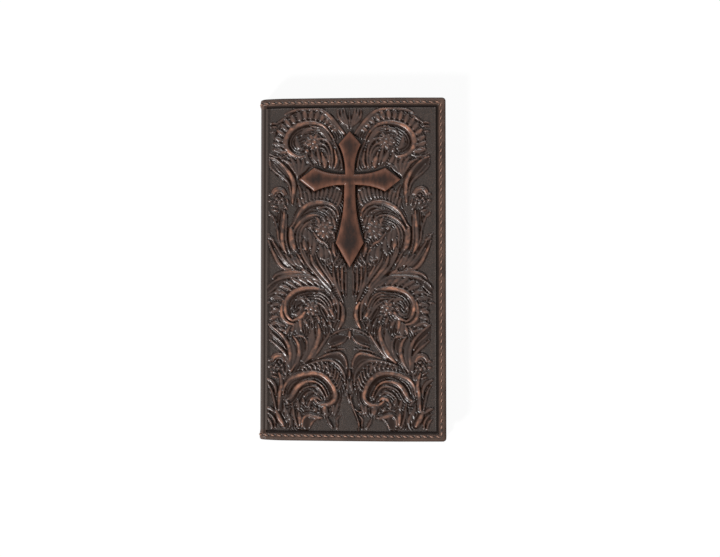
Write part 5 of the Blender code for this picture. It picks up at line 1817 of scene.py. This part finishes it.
FLOOR_REACH = 3.0
FLOOR_DROP = 0.02 * MM
FLOOR_GREY = (0.86, 0.86, 0.86, 1)
FLOOR_GLOW = 0.93
WHITE = (1, 1, 1, 1)
SOFT_LIGHT = (0.96, 0.98, 1.0, 1)
SOFT_STRENGTH = 0.28
PIXEL = 0.5155 * MM
PHOTO_WIDTH = 720
PHOTO_HEIGHT = 557
WALLET_MIDDLE_PX = (353.25, 268.6)
CAMERA_DISTANCE = 0.9
CAMERA_TILT_DEGREES = 2.9
SENSOR = 36.0


def seen_white(tree):
    """1 for the rays that show or mirror a surface to the camera, and 0 for the others."""
    rays = add_node(tree, "ShaderNodeLightPath").outputs
    seen = sums(tree, "MAXIMUM", rays["Is Camera Ray"], rays["Is Glossy Ray"])
    return sums(tree, "MAXIMUM", seen, rays["Is Transmission Ray"])


def make_stage():
    """A plain pale floor that keeps the object's shadow."""
    mesh = bpy.data.meshes.new("floor")
    corners = [(x * FLOOR_REACH, y * FLOOR_REACH, 0) for x, y in ((-1, -1), (1, -1), (1, 1), (-1, 1))]
    mesh.from_pydata(corners, [], [(0, 1, 2, 3)])
    floor = new_object("floor", mesh)
    floor.location.z = -FLOOR_DROP
    material = bpy.data.materials.new("floor_finish")
    material.use_nodes = True
    tree = material.node_tree
    tree.nodes.remove(tree.nodes["Principled BSDF"])
    matt = add_node(tree, "ShaderNodeBsdfDiffuse", {"Color": FLOOR_GREY}).outputs[0]
    glow = add_node(tree, "ShaderNodeEmission", {"Color": WHITE, "Strength": 1.0}).outputs[0]
    share = sums(tree, "MULTIPLY", seen_white(tree), FLOOR_GLOW)
    mix = add_node(tree, "ShaderNodeMixShader", {0: share, 1: matt, 2: glow})
    tree.links.new(mix.outputs[0], tree.nodes["Material Output"].inputs["Surface"])
    floor.data.materials.append(material)


def make_world():
    """White where it is seen or mirrored, and a soft even light otherwise."""
    world = bpy.data.worlds.new("studio")
    bpy.context.scene.world = world
    world.use_nodes = True
    tree = world.node_tree
    tree.nodes.clear()
    soft = add_node(tree, "ShaderNodeBackground", {"Color": SOFT_LIGHT, "Strength": SOFT_STRENGTH}).outputs[0]
    white = add_node(tree, "ShaderNodeBackground", {"Color": WHITE, "Strength": 1.0}).outputs[0]
    mix = add_node(tree, "ShaderNodeMixShader", {0: seen_white(tree), 1: soft, 2: white})
    output = add_node(tree, "ShaderNodeOutputWorld")
    tree.links.new(mix.outputs[0], output.inputs["Surface"])


def add_area_light(name, place, size, power):
    """A soft box that points at the wallet."""
    data = bpy.data.lights.new(name, "AREA")
    data.shape = "SQUARE"
    data.size = size
    data.energy = power
    light = new_object(name, data)
    light.location = place
    light.rotation_euler = (-Vector(place)).to_track_quat("-Z", "Y").to_euler()


def make_camera():
    """A long lens straight above the wallet, a little from its foot."""
    data = bpy.data.cameras.new("camera")
    data.sensor_width = SENSOR
    data.lens = SENSOR * CAMERA_DISTANCE / (PHOTO_WIDTH * PIXEL)
    camera = new_object("camera", data)
    aim_x = (PHOTO_WIDTH / 2 - WALLET_MIDDLE_PX[0]) * PIXEL
    aim_y = (WALLET_MIDDLE_PX[1] - PHOTO_HEIGHT / 2) * PIXEL
    tilt = math.radians(CAMERA_TILT_DEGREES)
    aim = Vector((aim_x, aim_y, TOP))
    camera.location = aim + CAMERA_DISTANCE * Vector((0, -math.sin(tilt), math.cos(tilt)))
    camera.rotation_euler = (tilt, 0, 0)
    bpy.context.scene.camera = camera


# Making it all

top_spray()
first_scroll()
long_leaf()
side_stem()
daisy(up=37.2)
second_scroll()
leaves_by_the_foot()
third_scroll()
crossing_stems()
fan_leaves()
daisy(up=-49.2)
fourth_scroll()
foot_leaves()
front_fields = drawn_fields()
press_cross(front_fields)
lone_stem(front_fields)
back_stalk()
back_fields = drawn_fields()

tooled_leather = make_tooled_leather()
band_leather = make_band_leather()
cross_leather = make_cross_leather()
inner_leather = make_inner_leather()
lining_cloth = make_lining_cloth()
thread = make_thread()
clear_vinyl = make_clear_vinyl()

front_shell = make_shell("front_shell", 1, band_leather)
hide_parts("front_cover", "front_fold", "spine_panel")
bend_at_fold(front_shell, 1)
back_shell = make_shell("back_shell", -1, band_leather)
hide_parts("back_cover", "back_fold", "spine_panel")
bend_at_fold(back_shell, -1)
bend_at_fold(make_seam("front_seam", 1, thread), 1)
bend_at_fold(make_seam("back_seam", -1, thread), -1)
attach(make_tooled_panel("front_tooled_panel", 1, front_fields, tooled_leather), "front_half")
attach(make_tooled_panel("back_tooled_panel", -1, back_fields, tooled_leather), "back_half")
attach(make_cross(cross_leather), "front_half")

make_inside(inner_leather, lining_cloth, clear_vinyl, thread)

make_stage()
make_world()
add_area_light("key_light", place=(-1.3, -1.43, 1.46), size=0.36, power=100.0)
add_area_light("fill_light", place=(0.2, 1.2, 1.0), size=0.6, power=10.0)
make_camera()
bpy.context.scene.view_settings.view_transform = "Standard"
